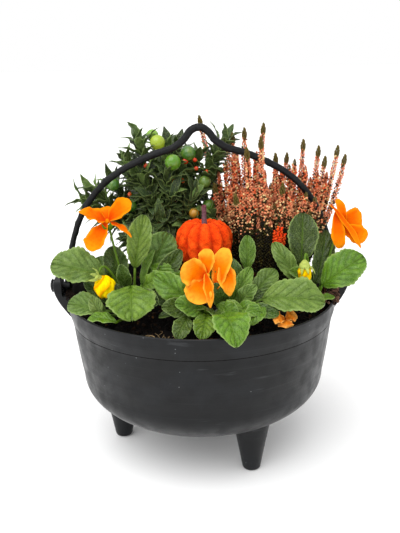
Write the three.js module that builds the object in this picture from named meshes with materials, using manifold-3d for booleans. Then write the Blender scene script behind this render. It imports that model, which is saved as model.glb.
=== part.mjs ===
// Potted pansy planter: a black three-legged cauldron pot with a swinging bail, filled with soil and
// planted with three pansies in front, a berry shrub behind on the left and heather behind on the right,
// round a velvet pumpkin on a pick.
//
// Units are millimetres and +Z is up. The origin lies on the ground under the middle of the bowl.
// +X runs along the bail's pivot line to the right ear, and -Y points to the front.

import * as THREE from 'three';
import { mergeVertices } from 'three/addons/utils/BufferGeometryUtils.js';
import Module from 'manifold-3d';

const wasm = await Module();
wasm.setup();

// ---------------------------------------------------------------------------------------------------
// Driving dimensions

const RIM_HEIGHT = 148;        // top of the rim above the ground
const RIM_RADIUS = 125;        // outer radius of the rim
const WALL = 2.5;              // wall thickness of the pot
const POT_SIDES = 32;          // facets round the pot and the soil
const FIT = 0.35;              // gap between pieces that stand in or on each other

const WALL_TOP_RADIUS = RIM_RADIUS - 4.5;      // where the wall meets the lip band
const WALL_TOP_HEIGHT = RIM_HEIGHT - 20;
const BELLY_RADIUS = RIM_RADIUS - 11;          // where the wall turns into the rounded bottom
const BELLY_HEIGHT = 76;
const BOTTOM_HEIGHT = 27;                      // lowest point of the bowl, under its middle
const BOTTOM_ROUNDNESS = 2.2;                  // exponent of the bottom's superellipse

const LEG_CIRCLE = 80;                         // radius of the circle that the feet stand on
const LEG_ANGLES = [180, -60, 60];             // degrees from +X
const FOOT_RADIUS = 8.5;
const FOOT_FLAT_RADIUS = 5;
const LEG_TOP_RADIUS = 17;
const LEG_TOP_HEIGHT = 48;

const PIVOT_HEIGHT = RIM_HEIGHT + 9;           // height of the bail's pivot line
const PEG_RADIUS = 3.2;
const PEG_HOLE_RADIUS = 3.6;
const PEG_HEAD_RADIUS = 6.5;                   // the flat dome outside the ear
const PEG_HEAD_LENGTH = 3;
const EAR_INSIDE = 131;                        // x of the ear's inner face
const EAR_OUTSIDE = 139;                       // x of its outer face
const EAR_WIDTH = 20;
const EAR_BEND = 10;                           // height above the rim where its round top begins
const BAIL_END = 126;                          // x where the bail comes down to its pivot
const BAIL_SWING = 6;                          // degrees each way before it meets the shoots

const SOIL_DROP = 12;                          // soil surface below the rim, at the wall
const SOIL_MOUND = 4;                          // how much higher it is in the middle
const ROOT_DEPTH = 18;                         // how deep each plant's crown stands in the soil

const LEAF_THICKNESS = 0.8;
const PETIOLE_RADIUS = 1.2;
const PETAL_THICKNESS = 0.7;

// ---------------------------------------------------------------------------------------------------
// Vectors and repeatable random numbers

// A point given by its height above the rim.
const at = ([x, y, up]) => new THREE.Vector3(x, y, RIM_HEIGHT + up);
const dir = ([x, y, z]) => new THREE.Vector3(x, y, z).normalize();
const mix = (a, b, t) => a.clone().lerp(b, t);
const degrees = THREE.MathUtils.degToRad;
const GOLDEN_ANGLE = Math.PI * (3 - Math.sqrt(5));

// A repeatable number from 0 to 1 for each whole number.
function chance(n) {
  const wave = Math.sin(n * 12.9898 + 4.1414) * 43758.5453;
  return wave - Math.floor(wave);
}

// ---------------------------------------------------------------------------------------------------
// Solids: closed triangle meshes, joined and cut

function toSolid(geometry) {
  const bare = geometry.clone();
  bare.deleteAttribute('normal');
  bare.deleteAttribute('uv');
  const welded = mergeVertices(bare, 1e-4);
  return new wasm.Manifold(new wasm.Mesh({
    numProp: 3,
    vertProperties: Float32Array.from(welded.attributes.position.array),
    triVerts: Uint32Array.from(welded.index.array),
  }));
}

function toGeometry(solid) {
  const mesh = solid.getMesh();
  const geometry = new THREE.BufferGeometry();
  geometry.setAttribute('position', new THREE.BufferAttribute(mesh.vertProperties, 3));
  geometry.setIndex(new THREE.BufferAttribute(mesh.triVerts, 1));
  return geometry;
}

// All the geometries fused into one solid.
function fuse(geometries) {
  return wasm.Manifold.union(geometries.map(toSolid));
}

// A geometry from points and triangles that close it.
function closedGeometry(points, triangles) {
  const geometry = new THREE.BufferGeometry().setFromPoints(points);
  geometry.setIndex(triangles.flat());
  return geometry;
}

// An upright cylinder or cone from z = low to z = high.
function upright([x, y], low, high, lowRadius, highRadius, sides) {
  const geometry = new THREE.CylinderGeometry(highRadius, lowRadius, high - low, sides);
  geometry.rotateX(Math.PI / 2);
  return geometry.translate(x, y, (low + high) / 2);
}

// A cylinder along X at the pivot height.
function alongPivot(fromX, toX, radius, sides) {
  const geometry = new THREE.CylinderGeometry(radius, radius, Math.abs(toX - fromX), sides);
  geometry.rotateZ(Math.PI / 2);
  return geometry.translate((fromX + toX) / 2, 0, PIVOT_HEIGHT);
}

// A closed tube through the points. radiusAt gives each ring's radius, and every second ring is turned
// by half a facet where stagger is set, which makes a string of buds of it.
function tube(points, radiusAt, sides, stagger = false) {
  const rings = points.length;
  const vertices = [];
  let across = new THREE.Vector3(0, 1, 0);
  points.forEach((point, i) => {
    const along = points[Math.min(i + 1, rings - 1)].clone().sub(points[Math.max(i - 1, 0)]).normalize();
    if (Math.abs(across.dot(along)) > 0.95) across = new THREE.Vector3(1, 0, 0);
    across = across.clone().addScaledVector(along, -across.dot(along)).normalize();
    const other = along.clone().cross(across);
    for (let k = 0; k < sides; k++) {
      const angle = 2 * Math.PI * (k + (stagger && i % 2 ? 0.5 : 0)) / sides;
      vertices.push(point.clone()
        .addScaledVector(across, radiusAt(i) * Math.cos(angle))
        .addScaledVector(other, radiusAt(i) * Math.sin(angle)));
    }
  });
  const triangles = [];
  for (let i = 0; i < rings - 1; i++) {
    for (let k = 0; k < sides; k++) {
      const a = i * sides + k;
      const b = i * sides + (k + 1) % sides;
      if (stagger && i % 2 === 0) triangles.push([a, b, a + sides], [b, b + sides, a + sides]);
      else triangles.push([a, b, b + sides], [a, b + sides, a + sides]);
    }
  }
  const end = (rings - 1) * sides;
  for (let k = 1; k < sides - 1; k++) {
    triangles.push([0, k + 1, k], [end, end + k, end + k + 1]);
  }
  return closedGeometry(vertices, triangles);
}

// Points along a bow from one point to another that is pulled towards a third.
function bow(from, pull, to, count) {
  return new THREE.QuadraticBezierCurve3(from, pull, to).getPoints(count);
}

// A stalk of even thickness along a bow.
function stalk(from, pull, to, radius, count = 4, sides = 4) {
  return tube(bow(from, pull, to, count), () => radius, sides);
}

// A round body, squashed to its three radii, whose poles lie along Z.
function ball(centre, [rx, ry, rz], around = 10, upward = 7) {
  return new THREE.SphereGeometry(1, around, upward).rotateX(Math.PI / 2)
    .scale(rx, ry, rz).translate(centre.x, centre.y, centre.z);
}

// ---------------------------------------------------------------------------------------------------
// Leaves and petals: blades whose middle runs from a base to a tip

// The blade's half width, as a share of its full half width, at t from base (0) to tip (1). How far
// along a station lies is a sine of its number, so that stations crowd at a round tip.
const OUTLINES = {
  leaf: { half: (t) => 0.08 + 0.92 * Math.sin(Math.PI * t ** 1.2) ** 0.55, crowded: true },
  lance: { half: (t) => 0.10 + 0.90 * Math.sin(Math.PI * t ** 0.85) ** 0.9, crowded: false },
  petal: { half: (t) => 0.12 + 0.88 * Math.sin(Math.PI * t ** 1.5) ** 0.5, crowded: true },
};

// The blade's surface: a function of u along it from 0 to 1 and w across it from -1 to 1. The middle
// bows up by arch times the length, the sides rise by cup times the half width, the edge waves up and
// down, and each lobe swells and pinches the outline once.
function bladeSurface({ base, tip, faces, width, outline = 'leaf', arch = 0.08, cup = 0.15, wave = 0,
  waves = 3, lobes = 0 }) {
  const length = base.distanceTo(tip);
  const along = tip.clone().sub(base).normalize();
  const normal = faces.clone().addScaledVector(along, -faces.dot(along)).normalize();
  const side = normal.clone().cross(along);
  const { half: share, crowded } = OUTLINES[outline];
  return (u, w) => {
    const t = crowded ? Math.sin(Math.PI / 2 * u) : u;
    const notch = 1 + (lobes ? 0.06 * Math.cos(2 * Math.PI * lobes * u) : 0);
    const half = width / 2 * share(Math.min(t, 1)) * notch;
    const rise = arch * length * 4 * t * (1 - t) + cup * half * w * w
      + wave * half * Math.abs(w) * Math.sin(2 * Math.PI * waves * t + (w > 0 ? 0 : 1.9));
    const point = base.clone().addScaledVector(along, length * t)
      .addScaledVector(side, half * w).addScaledVector(normal, rise);
    return { point, normal };
  };
}

// Rows of a petiole that leads up to the blade's base and is as thick as it is wide.
function petioleRows({ base, tip, faces, petiole }, columns) {
  if (!petiole) return [];
  const curve = new THREE.QuadraticBezierCurve3(petiole.from, petiole.pull, base);
  return [0, 0.4, 0.75].map((share) => {
    const along = curve.getTangent(share);
    const normal = faces.clone().addScaledVector(along, -faces.dot(along)).normalize();
    const side = normal.clone().cross(along);
    return Array.from({ length: columns }, (_, j) => ({
      point: curve.getPoint(share).addScaledVector(side, PETIOLE_RADIUS * (2 * j / (columns - 1) - 1)),
      normal,
      half: PETIOLE_RADIUS * 0.9,
    }));
  });
}

// The blade, with its petiole if it has one, as a closed solid. Both faces are split into the same
// triangles.
function blade(spec) {
  const { stations = 9, columns = 3, thickness = LEAF_THICKNESS } = spec;
  const surface = bladeSurface(spec);
  const rows = petioleRows(spec, columns);
  for (let i = 0; i < stations; i++) {
    const u = i / (stations - 1);
    rows.push(Array.from({ length: columns }, (_, j) => surface(u, 2 * j / (columns - 1) - 1)));
  }
  const upper = rows.flat().map(({ point, normal, half = thickness / 2 }) =>
    point.clone().addScaledVector(normal, half));
  const lower = rows.flat().map(({ point, normal, half = thickness / 2 }) =>
    point.clone().addScaledVector(normal, -half));
  const count = upper.length;
  const triangles = [];
  for (let i = 0; i < rows.length - 1; i++) {
    for (let j = 0; j < columns - 1; j++) {
      const a = i * columns + j;
      const b = a + columns;
      triangles.push([a, b, b + 1], [a, b + 1, a + 1]);
      triangles.push([count + a, count + b + 1, count + b], [count + a, count + a + 1, count + b + 1]);
    }
  }
  const rim = [];
  const last = rows.length - 1;
  for (let i = 0; i < last; i++) rim.push(i * columns);
  for (let j = 0; j < columns - 1; j++) rim.push(last * columns + j);
  for (let i = last; i > 0; i--) rim.push(i * columns + columns - 1);
  for (let j = columns - 1; j > 0; j--) rim.push(j);
  rim.forEach((p, i) => {
    const q = rim[(i + 1) % rim.length];
    triangles.push([count + p, count + q, q], [count + p, q, p]);
  });
  return closedGeometry([...upper, ...lower], triangles);
}

// ---------------------------------------------------------------------------------------------------
// Room between the plants: balls that stand for what has been placed so far

const placed = [];

function occupy(owner, points, radius) {
  points.forEach((point) => placed.push({ owner, point, radius }));
}

function isFree(owner, points, radius) {
  return !placed.some((other) => other.owner !== owner
    && points.some((point) => point.distanceTo(other.point) < radius + other.radius));
}

function bladePoints(spec, along = 7, across = 5) {
  const surface = bladeSurface(spec);
  const points = [];
  for (let i = 0; i <= along; i++) {
    for (let j = 0; j < across; j++) {
      points.push(surface(i / along, 2 * j / (across - 1) - 1).point);
    }
  }
  return points;
}

// ---------------------------------------------------------------------------------------------------
// Pot: bowl with lip band, three conical legs and two ears, one moulding

function bottomProfile(radius, depth, steps) {
  const profile = [];
  for (let i = 0; i <= steps; i++) {
    const angle = Math.PI / 2 * i / steps;
    profile.push(new THREE.Vector2(
      radius * Math.sin(angle) ** (2 / BOTTOM_ROUNDNESS),
      BELLY_HEIGHT - depth * Math.cos(angle) ** (2 / BOTTOM_ROUNDNESS),
    ));
  }
  return profile;
}

function outerProfile() {
  return [
    ...bottomProfile(BELLY_RADIUS, BELLY_HEIGHT - BOTTOM_HEIGHT, 5),
    new THREE.Vector2(BELLY_RADIUS + 4, BELLY_HEIGHT + 28),
    new THREE.Vector2(WALL_TOP_RADIUS, WALL_TOP_HEIGHT),
    new THREE.Vector2(RIM_RADIUS - 0.8, WALL_TOP_HEIGHT + 6),
    new THREE.Vector2(RIM_RADIUS, RIM_HEIGHT - 1),
    new THREE.Vector2(RIM_RADIUS - 0.7, RIM_HEIGHT),
  ];
}

// The inside of the bowl, inset from the wall's inner face by gap.
function innerProfile(gap, top) {
  const inset = WALL + gap;
  return [
    ...bottomProfile(BELLY_RADIUS - inset, BELLY_HEIGHT - BOTTOM_HEIGHT - inset, 4),
    new THREE.Vector2(WALL_TOP_RADIUS - inset, WALL_TOP_HEIGHT),
    new THREE.Vector2(RIM_RADIUS - 0.8 - inset, WALL_TOP_HEIGHT + 6),
    new THREE.Vector2(RIM_RADIUS - 0.5 - inset, top),
  ];
}

// A solid of revolution about Z whose profile starts and ends on the axis.
function turned(profile) {
  const closed = [...profile, new THREE.Vector2(0, profile.at(-1).y)];
  return new THREE.LatheGeometry(closed, POT_SIDES).rotateX(Math.PI / 2);
}

function leg(angle) {
  const x = LEG_CIRCLE * Math.cos(degrees(angle));
  const y = LEG_CIRCLE * Math.sin(degrees(angle));
  const profile = [
    new THREE.Vector2(0, 0),
    new THREE.Vector2(FOOT_FLAT_RADIUS, 0),
    new THREE.Vector2(FOOT_RADIUS - 1, 1.2),
    new THREE.Vector2(FOOT_RADIUS, 3.5),
    new THREE.Vector2(LEG_TOP_RADIUS, LEG_TOP_HEIGHT),
    new THREE.Vector2(0, LEG_TOP_HEIGHT),
  ];
  return new THREE.LatheGeometry(profile, 12).rotateX(Math.PI / 2).translate(x, y, 0);
}

// The ear's side view, from the bowl out and up: x and height above the rim. It leans out of the wall
// as a wedge and bulges round the peg.
const EAR_VIEW = [
  [RIM_RADIUS - 7, -20], [RIM_RADIUS - 4, -20], [131.5, -8.5], [137, 2], [EAR_OUTSIDE, EAR_BEND],
  [137, 17], [133, 20], [EAR_INSIDE, 19], [EAR_INSIDE, 0], [RIM_RADIUS - 7, 0],
];

// The side view carried across the ear's width, within a front view that has a round top.
function ear(side) {
  const sideView = new THREE.Shape(EAR_VIEW.map(([x, up]) => new THREE.Vector2(x, RIM_HEIGHT + up)));
  const slab = new THREE.ExtrudeGeometry(sideView, { depth: EAR_WIDTH, bevelEnabled: false });
  slab.rotateX(Math.PI / 2).translate(0, EAR_WIDTH / 2, 0);
  const frontView = new THREE.Shape();
  const low = RIM_HEIGHT - 25;
  const bend = RIM_HEIGHT + EAR_BEND;
  frontView.moveTo(-EAR_WIDTH / 2, low);
  frontView.lineTo(EAR_WIDTH / 2, low);
  frontView.lineTo(EAR_WIDTH / 2, bend);
  frontView.absarc(0, bend, EAR_WIDTH / 2 - 0.01, 0, Math.PI, false);
  const throughAll = { depth: 40, bevelEnabled: false, curveSegments: 6 };
  const plate = new THREE.ExtrudeGeometry(frontView, throughAll);
  plate.rotateX(Math.PI / 2).rotateZ(Math.PI / 2).translate(RIM_RADIUS - 15, 0, 0);
  const shaped = toSolid(slab).intersect(toSolid(plate))
    .subtract(toSolid(alongPivot(RIM_RADIUS, EAR_OUTSIDE + 5, PEG_HOLE_RADIUS, 10)));
  return side > 0 ? shaped : shaped.rotate([0, 0, 180]);
}

function pot() {
  const outside = toSolid(turned(outerProfile()));
  const cavity = toSolid(turned(innerProfile(0, RIM_HEIGHT + 5)));
  const body = wasm.Manifold.union([outside, ...LEG_ANGLES.map(leg).map(toSolid), ear(1), ear(-1)]);
  const above = upright([0, 0], RIM_HEIGHT + 0.001, RIM_HEIGHT + 30, RIM_RADIUS, RIM_RADIUS, POT_SIDES);
  return body.subtract(cavity).subtract(toSolid(above));
}

// ---------------------------------------------------------------------------------------------------
// Bail: an arched bar with a pointed peak and a peg with a button head at each end

// The right half of the bail's middle line: x, height above the rim.
const BAIL_LINE = [
  [0, 152], [3.5, 151.5], [8.5, 148], [13, 142], [19, 137], [25, 133.5], [40, 129], [57, 122], [77, 111],
  [94, 96], [108, 76], [117, 53], [122, 32], [BAIL_END, 9],
];

function bailLine(count) {
  const right = BAIL_LINE.map(([x, up]) => at([x, 0, up]));
  const left = BAIL_LINE.slice(1).map(([x, up]) => at([-x, 0, up]));
  return new THREE.CatmullRomCurve3([...left.reverse(), ...right], false, 'centripetal').getPoints(count);
}

const BAIL_RISE = RIM_HEIGHT + BAIL_LINE[0][1] - PIVOT_HEIGHT;

// The bar is thicker towards the peak.
function bailRadius(point) {
  return 2.5 + 0.9 * ((point.z - PIVOT_HEIGHT) / BAIL_RISE) ** 1.5;
}

function bail() {
  const line = bailLine(36);
  const bar = tube(line, (i) => bailRadius(line[i]), 6);
  const pegs = [-1, 1].flatMap((side) => [
    alongPivot(side * (BAIL_END - 2.5), side * (EAR_OUTSIDE + 1.5), PEG_RADIUS, 8),
    alongPivot(side * (EAR_OUTSIDE + FIT), side * (EAR_OUTSIDE + FIT + PEG_HEAD_LENGTH), PEG_HEAD_RADIUS, 8),
  ]);
  return fuse([bar, ...pegs]);
}

// The room that the bail sweeps is kept free, and a gap for the fingers under its peak.
function occupyBail() {
  for (let x = -24; x <= 24; x += 8) {
    occupy('bail', [at([x, 0, 110]), at([x, 0, 120])], 11);
  }
  const line = bailLine(70);
  for (let swing = -BAIL_SWING; swing <= BAIL_SWING; swing += 2) {
    const swung = line.map((point) => {
      const reach = point.z - PIVOT_HEIGHT;
      return new THREE.Vector3(point.x, -reach * Math.sin(degrees(swing)),
        PIVOT_HEIGHT + reach * Math.cos(degrees(swing)));
    });
    swung.forEach((point, i) => occupy('bail', [point], bailRadius(line[i]) + 0.8));
  }
}

// ---------------------------------------------------------------------------------------------------
// Soil: fills the bowl, lumpy on top, with a plain hole for each crown and for the pick

function soilHeight(x, y) {
  const share = Math.hypot(x, y) / (RIM_RADIUS - 3.5);
  const lumps = 1.3 * Math.sin(0.11 * x + 0.6) * Math.sin(0.13 * y + 0.4)
    + 0.8 * Math.sin(0.29 * x - 0.17 * y) + 0.6 * Math.sin(0.23 * x + 0.31 * y + 2);
  return RIM_HEIGHT - SOIL_DROP + (1 - share ** 2) * (SOIL_MOUND + lumps);
}

function soil() {
  const body = innerProfile(FIT, RIM_HEIGHT - SOIL_DROP);
  const edge = body.at(-1).x;
  const top = [0.72, 0.4, 0].map((share) => new THREE.Vector2(share * edge, RIM_HEIGHT));
  const geometry = new THREE.LatheGeometry([...body, ...top], POT_SIDES).rotateX(Math.PI / 2);
  const position = geometry.attributes.position;
  for (let i = 0; i < position.count; i++) {
    if (position.getZ(i) > RIM_HEIGHT - 1) {
      position.setZ(i, soilHeight(position.getX(i), position.getY(i)));
    }
  }
  const holes = CROWNS.map(({ place, radius, depth = ROOT_DEPTH }) => {
    const surface = RIM_HEIGHT - SOIL_DROP;
    return upright(place, surface - depth - FIT, RIM_HEIGHT + 5, radius + FIT, radius + FIT, 9);
  });
  return toSolid(geometry).subtract(fuse(holes));
}

// ---------------------------------------------------------------------------------------------------
// Crowns: where each plant stands in the soil

const CROWNS = [
  { name: 'pansy_left', place: [-62, -48], radius: 3.6 },
  { name: 'pansy_center', place: [14, -68], radius: 3.6 },
  { name: 'pansy_right', place: [100, -38], radius: 3.6 },
  { name: 'shrub', place: [-32, 42], radius: 4.5 },
  { name: 'heather_1', place: [64, -10], radius: 9 },
  { name: 'heather_2', place: [42, 40], radius: 9 },
  { name: 'heather_3', place: [86, 34], radius: 9 },
  { name: 'heather_4', place: [66, 72], radius: 9 },
  { name: 'pick', place: [3, -12], radius: 1.6, depth: 45 },
];

function crownOf(name) {
  return CROWNS.find((crown) => crown.name === name);
}

// The part of the plant that stands in its hole and comes out of the soil.
function crownStub(name, high = 7) {
  const { place, radius, depth = ROOT_DEPTH } = crownOf(name);
  const surface = RIM_HEIGHT - SOIL_DROP;
  return upright(place, surface - depth, surface + high, radius, radius * 0.8, 9);
}

function crownTop(name, up = -8) {
  const [x, y] = crownOf(name).place;
  return at([x, y, up]);
}

// ---------------------------------------------------------------------------------------------------
// Pansy plants: leaves on petioles and flower stalks, all from one crown

const FRONT = [0, -1, 0.35];       // a leaf that stands up and shows its face to the front
const UP = [0, -0.35, 1];          // a leaf that lies flat
const SLANT = [0, -0.8, 0.7];

// Each leaf: base, tip (x, y, height above the rim), width, the way it faces, arch, lobes per side.
const PANSY_LEAVES = {
  pansy_left: [
    [[-89, -52, 31], [-131, -48, 43], 29, SLANT, 0.10, 4],
    [[-55, -48, 38], [-44, -42, 83], 22, FRONT, 0.05, 3],
    [[-72, -38, 17], [-80, -30, 47], 22, FRONT, 0.06, 3],
    [[-46, -24, 28], [-30, -16, 60], 28, FRONT, 0.08, 3],
    [[-46, -34, 35], [-18, -44, 20], 18, SLANT, 0.10, 3],
    [[-62, -66, 26], [-60, -96, 8], 42, [0, -0.8, 1], 0.10, 4],
    [[-84, -70, 5], [-117, -58, 8], 20, UP, 0.08, 3],
    [[-76, -88, 3], [-97, -80, 4], 12, UP, 0.06, 2],
    [[-88, -74, 4], [-95, -68, 19], 12, FRONT, 0.04, 2],
    [[-54, -44, 21], [-43, -34, 50], 9, [-0.6, -0.8, 0.2], 0.06, 2],
    [[-76, -56, 8], [-104, -46, 27], 13, FRONT, 0.06, 2],
  ],
  pansy_center: [
    [[48, -76, 15], [100, -84, 15], 33, [0, -0.75, 0.75], 0.10, 4],
    [[-7, -70, 9], [-42, -62, 35], 24, FRONT, 0.08, 3],
    [[-14, -66, 2], [-46, -60, 17], 14, SLANT, 0.06, 2],
    [[-9, -78, 3], [-39, -80, 5], 12, UP, 0.08, 2],
    [[-15, -90, 6], [-24, -110, -4], 16, SLANT, 0.08, 3],
    [[1, -89, 7], [-4, -112, -4], 20, SLANT, 0.10, 3],
    [[14, -98, 6], [22, -128, -7], 30, [0.1, -0.7, 1], 0.24, 4],
    [[10, -84, 14], [31, -92, 8], 15, SLANT, 0.10, 3],
    [[2, -80, 10], [-17, -84, 9], 9, UP, 0.10, 2],
    [[48, -82, 12], [34, -100, 3], 17, SLANT, 0.10, 3],
    [[30, -62, 9], [24, -52, 45], 17, FRONT, 0.05, 3],
    [[38, -48, 33], [39, -44, 63], 15, FRONT, 0.05, 3],
    [[42, -60, 13], [63, -52, 34], 19, SLANT, 0.08, 3],
    [[34, -66, 7], [52, -62, 18], 12, SLANT, 0.08, 2],
  ],
  pansy_right: [
    [[87, -38, 35], [90, -27, 78], 28, FRONT, 0.05, 4],
    [[101, -34, 14], [113, -18, 60], 23, [0.3, -1, 0.2], 0.06, 3],
    [[107, -46, 18], [142, -46, 42], 30, SLANT, 0.10, 4],
    [[84, -44, 18], [63, -36, 54], 17, FRONT, 0.06, 3],
    [[98, -54, 4], [116, -52, 8], 12, UP, 0.08, 2],
  ],
};

function pansyLeaf(plant, [base, tip, width, faces, arch, lobes]) {
  const crown = crownTop(plant);
  const from = mix(crown, at([base[0], base[1], -8]), 0.04);
  const pull = mix(from, at(base), 0.45);
  pull.z += 3;
  return {
    petiole: { from, pull },
    base: at(base),
    tip: at(tip),
    faces: dir(faces),
    width,
    arch,
    cup: 0.12,
    lobes,
    stations: 2 * lobes + 1,
  };
}

// Blooms: where the middle is, the way it faces, and the tip and width of each petal.
const BLOOMS = {
  pansy_left: {
    middle: [-81, -41, 78],
    faces: [-0.25, 0.25, 1],
    stalkPull: [-78, -40, 58],
    petals: [
      [[-61, -44, 96], 17, [0.35, -0.55, 0.75]], [[-102, -46, 88], 17, [-0.25, -0.4, 0.9]],
      [[-95, -53, 57], 19, [-0.6, -0.8, 0.3]], [[-60, -52, 68], 10, [0.3, -0.2, 0.9]], [[-88, -26, 87], 18],
    ],
  },
  pansy_center: {
    middle: [2, -84, 40],
    faces: [-0.25, -0.95, 0.1],
    stalkPull: [14, -66, 42],
    petals: [
      [[-1, -82, 62], 14], [[-18.5, -91, 49], 22], [[-9, -96, 19], 21],
      [[15, -77, 61], 17, [-0.35, -0.9, 0.2]], [[20.5, -86, 20], 14, [0.2, -0.95, 0]],
    ],
  },
  pansy_right: {
    middle: [128.5, -28, 67],
    faces: [0.75, -0.35, 0.35],
    stalkPull: [116, -26, 44],
    petals: [
      [[121, -23, 87], 12], [[122, -38, 48], 16, [-0.2, -1, 0]], [[143, -18, 71], 19, [0.1, -1, 0.25]],
      [[144.5, -30, 53], 14, [0.2, -1, 0.35]], [[114, -40, 85], 10],
    ],
  },
};

const HUB_RADIUS = 2.6;
const CALYX_LENGTH = 5;

function bloomPetals({ middle, faces, petals }) {
  return petals.map(([tip, width, own = faces], k) => ({
    base: mix(at(middle), at(tip), 0.05),
    tip: at(tip),
    faces: dir(own),
    width,
    outline: 'petal',
    arch: 0.05 - 0.02 * (k % 3),
    cup: 0.12,
    wave: 0.07,
    waves: 1.5,
    stations: 5,
    thickness: PETAL_THICKNESS,
  }));
}

function bloom(plan) {
  return fuse([ball(at(plan.middle), [HUB_RADIUS, HUB_RADIUS, HUB_RADIUS], 5, 3),
    ...bloomPetals(plan).map(blade)]);
}

// The green cup behind the bloom: a star-edged cone, clear of the petals, at the end of the stalk.
function calyxEnd({ middle, faces }) {
  return at(middle).addScaledVector(dir(faces), -(HUB_RADIUS + FIT));
}

function bloomStalk(plant) {
  const plan = BLOOMS[plant];
  const end = calyxEnd(plan);
  const start = end.clone().addScaledVector(dir(plan.faces), -CALYX_LENGTH);
  const cup = tube([start, mix(start, end, 0.5), end], (i) => [1, 2.4, 1.4][i], 6);
  return [cup, stalk(crownTop(plant), at(plan.stalkPull), mix(start, end, 0.2), 1.1, 6)];
}

// Buds: a crumpled yellow body that hangs from a hooked stalk under a green star of sepals.
const BUDS = {
  pansy_left: { middle: [-84, -66, 27], radii: [9, 8, 10], hook: [-84, -58, 62] },
  pansy_right: { middle: [87, -57, 31], radii: [6, 6, 7.5], hook: [93, -52, 70] },
};

function budStalk(plant) {
  const { middle, radii: [rx, , rz], hook } = BUDS[plant];
  const top = at(middle).add(new THREE.Vector3(0, 0, rz + FIT));
  const cap = tube([top, top.clone().setZ(top.z + 2), top.clone().setZ(top.z + 6)],
    (i) => [rx * 0.72, rx * 0.6, 1.4][i], 7);
  return [cap, stalk(crownTop(plant), at(hook), top.clone().setZ(top.z + 4), 1.1, 6)];
}

function bud(plant) {
  const { middle, radii } = BUDS[plant];
  const geometry = ball(at(middle), radii, 10, 8);
  const position = geometry.attributes.position;
  const centre = at(middle);
  for (let i = 0; i < position.count; i++) {
    const point = new THREE.Vector3().fromBufferAttribute(position, i).sub(centre);
    const around = Math.atan2(point.y, point.x);
    const crease = 1 + 0.10 * Math.sin(5 * around) * Math.sin(Math.PI * (point.z / radii[2] + 1) / 2);
    position.setXYZ(i, centre.x + point.x * crease, centre.y + point.y * crease, centre.z + point.z);
  }
  return toSolid(geometry);
}

// A spent bloom that lies on the soil under the big leaf, with folded petals.
const LOW_BLOOM = {
  middle: [66, -90, 2],
  faces: [0, -0.6, 0.8],
  petals: [
    [[55, -92, 4], 12], [[75, -88, 6], 12], [[65, -97, -3], 14],
  ],
};

function pansyPlant(plant) {
  const leaves = PANSY_LEAVES[plant].map((row) => pansyLeaf(plant, row));
  const buds = BUDS[plant] ? budStalk(plant) : [];
  return fuse([crownStub(plant), ...leaves.map(blade), ...bloomStalk(plant), ...buds]);
}

function occupyPansies() {
  Object.keys(PANSY_LEAVES).forEach((plant) => {
    PANSY_LEAVES[plant].forEach((row) => occupy(plant, bladePoints(pansyLeaf(plant, row)), 3));
    bloomPetals(BLOOMS[plant]).forEach((petal) => occupy(`${plant}_bloom`, bladePoints(petal), 2.5));
  });
}

// ---------------------------------------------------------------------------------------------------
// Heather: four bunches of upright shoots, each a stem with a string of buds and a leafy tip

// Shoots that stand out, each by its tip, and the number of lower shoots that fill the bunch.
const HEATHER = {
  heather_1: {
    tips: [[40, -27, 136], [52, -29, 145], [72, -25, 104], [30, -27, 96]],
    fill: 4, spread: 26, height: 88, pushFront: 6,
  },
  heather_2: {
    tips: [[34, 50, 141], [45, 45, 146], [62, 34, 151], [15, 30, 96]],
    fill: 4, spread: 24, height: 92, pushFront: 0,
  },
  heather_3: {
    tips: [[100, 35, 135], [114, 31, 129], [119, 24, 120], [132, 30, 129], [140, 33, 120], [72, 24, 124]],
    fill: 4, spread: 26, height: 84, pushFront: 4,
  },
  heather_4: {
    tips: [[3, 74, 150], [30, 80, 130], [90, 70, 118]],
    fill: 4, spread: 30, height: 96, pushFront: -8,
  },
};

const SHOOT_RINGS = [0, 0.3, 0.4, 0.49, 0.58, 0.67, 0.76, 0.85, 0.92, 1];

function shootTips(bunch) {
  const { tips, fill, spread, height, pushFront } = HEATHER[bunch];
  const [x, y] = crownOf(bunch).place;
  const seed = 100 * Number(bunch.at(-1));
  const lower = [];
  for (let k = 0; k < fill; k++) {
    const out = spread * Math.sqrt((k + 0.7) / fill);
    const turn = k * GOLDEN_ANGLE + seed;
    const up = height - 0.5 * out + 14 * (chance(seed + k) - 0.5);
    lower.push([x + out * Math.cos(turn), y - pushFront + out * Math.sin(turn), up]);
  }
  return { tall: tips.map(at), lower: lower.map(at) };
}

function shootLine(bunch, tip) {
  const from = crownTop(bunch, -9);
  from.addScaledVector(tip.clone().sub(from).setZ(0), 0.1);
  const pull = mix(from, tip, 0.5);
  pull.x = from.x + 0.72 * (tip.x - from.x);
  pull.y = from.y + 0.72 * (tip.y - from.y);
  pull.z = from.z + 0.42 * (tip.z - from.z);
  const curve = new THREE.QuadraticBezierCurve3(from, pull, tip);
  return SHOOT_RINGS.map((share) => curve.getPoint(share));
}

function shootRadius(i) {
  if (i < 2) return 1.2;
  if (i > 7) return i === 8 ? 2.4 : 0.7;
  return i % 2 ? 2.2 : 3.9;
}

function shoots(bunch) {
  const { tall, lower } = shootTips(bunch);
  const tallLines = tall.map((tip) => shootLine(bunch, tip));
  const lowerLines = lower.map((tip) => shootLine(bunch, tip));
  const free = lowerLines.filter((line) => isFree(bunch, line, 3.6));
  return [...tallLines, ...free];
}

function heather(bunch) {
  const lines = shoots(bunch);
  return fuse([crownStub(bunch), ...lines.map((line) => tube(line, shootRadius, 3, true))]);
}

function occupyHeather() {
  Object.keys(HEATHER).forEach((bunch) => {
    shoots(bunch).forEach((line) => occupy(bunch, line, 4));
  });
}

// ---------------------------------------------------------------------------------------------------
// Berries: round fruit in the shrub, each at the end of its own short stalk

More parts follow.
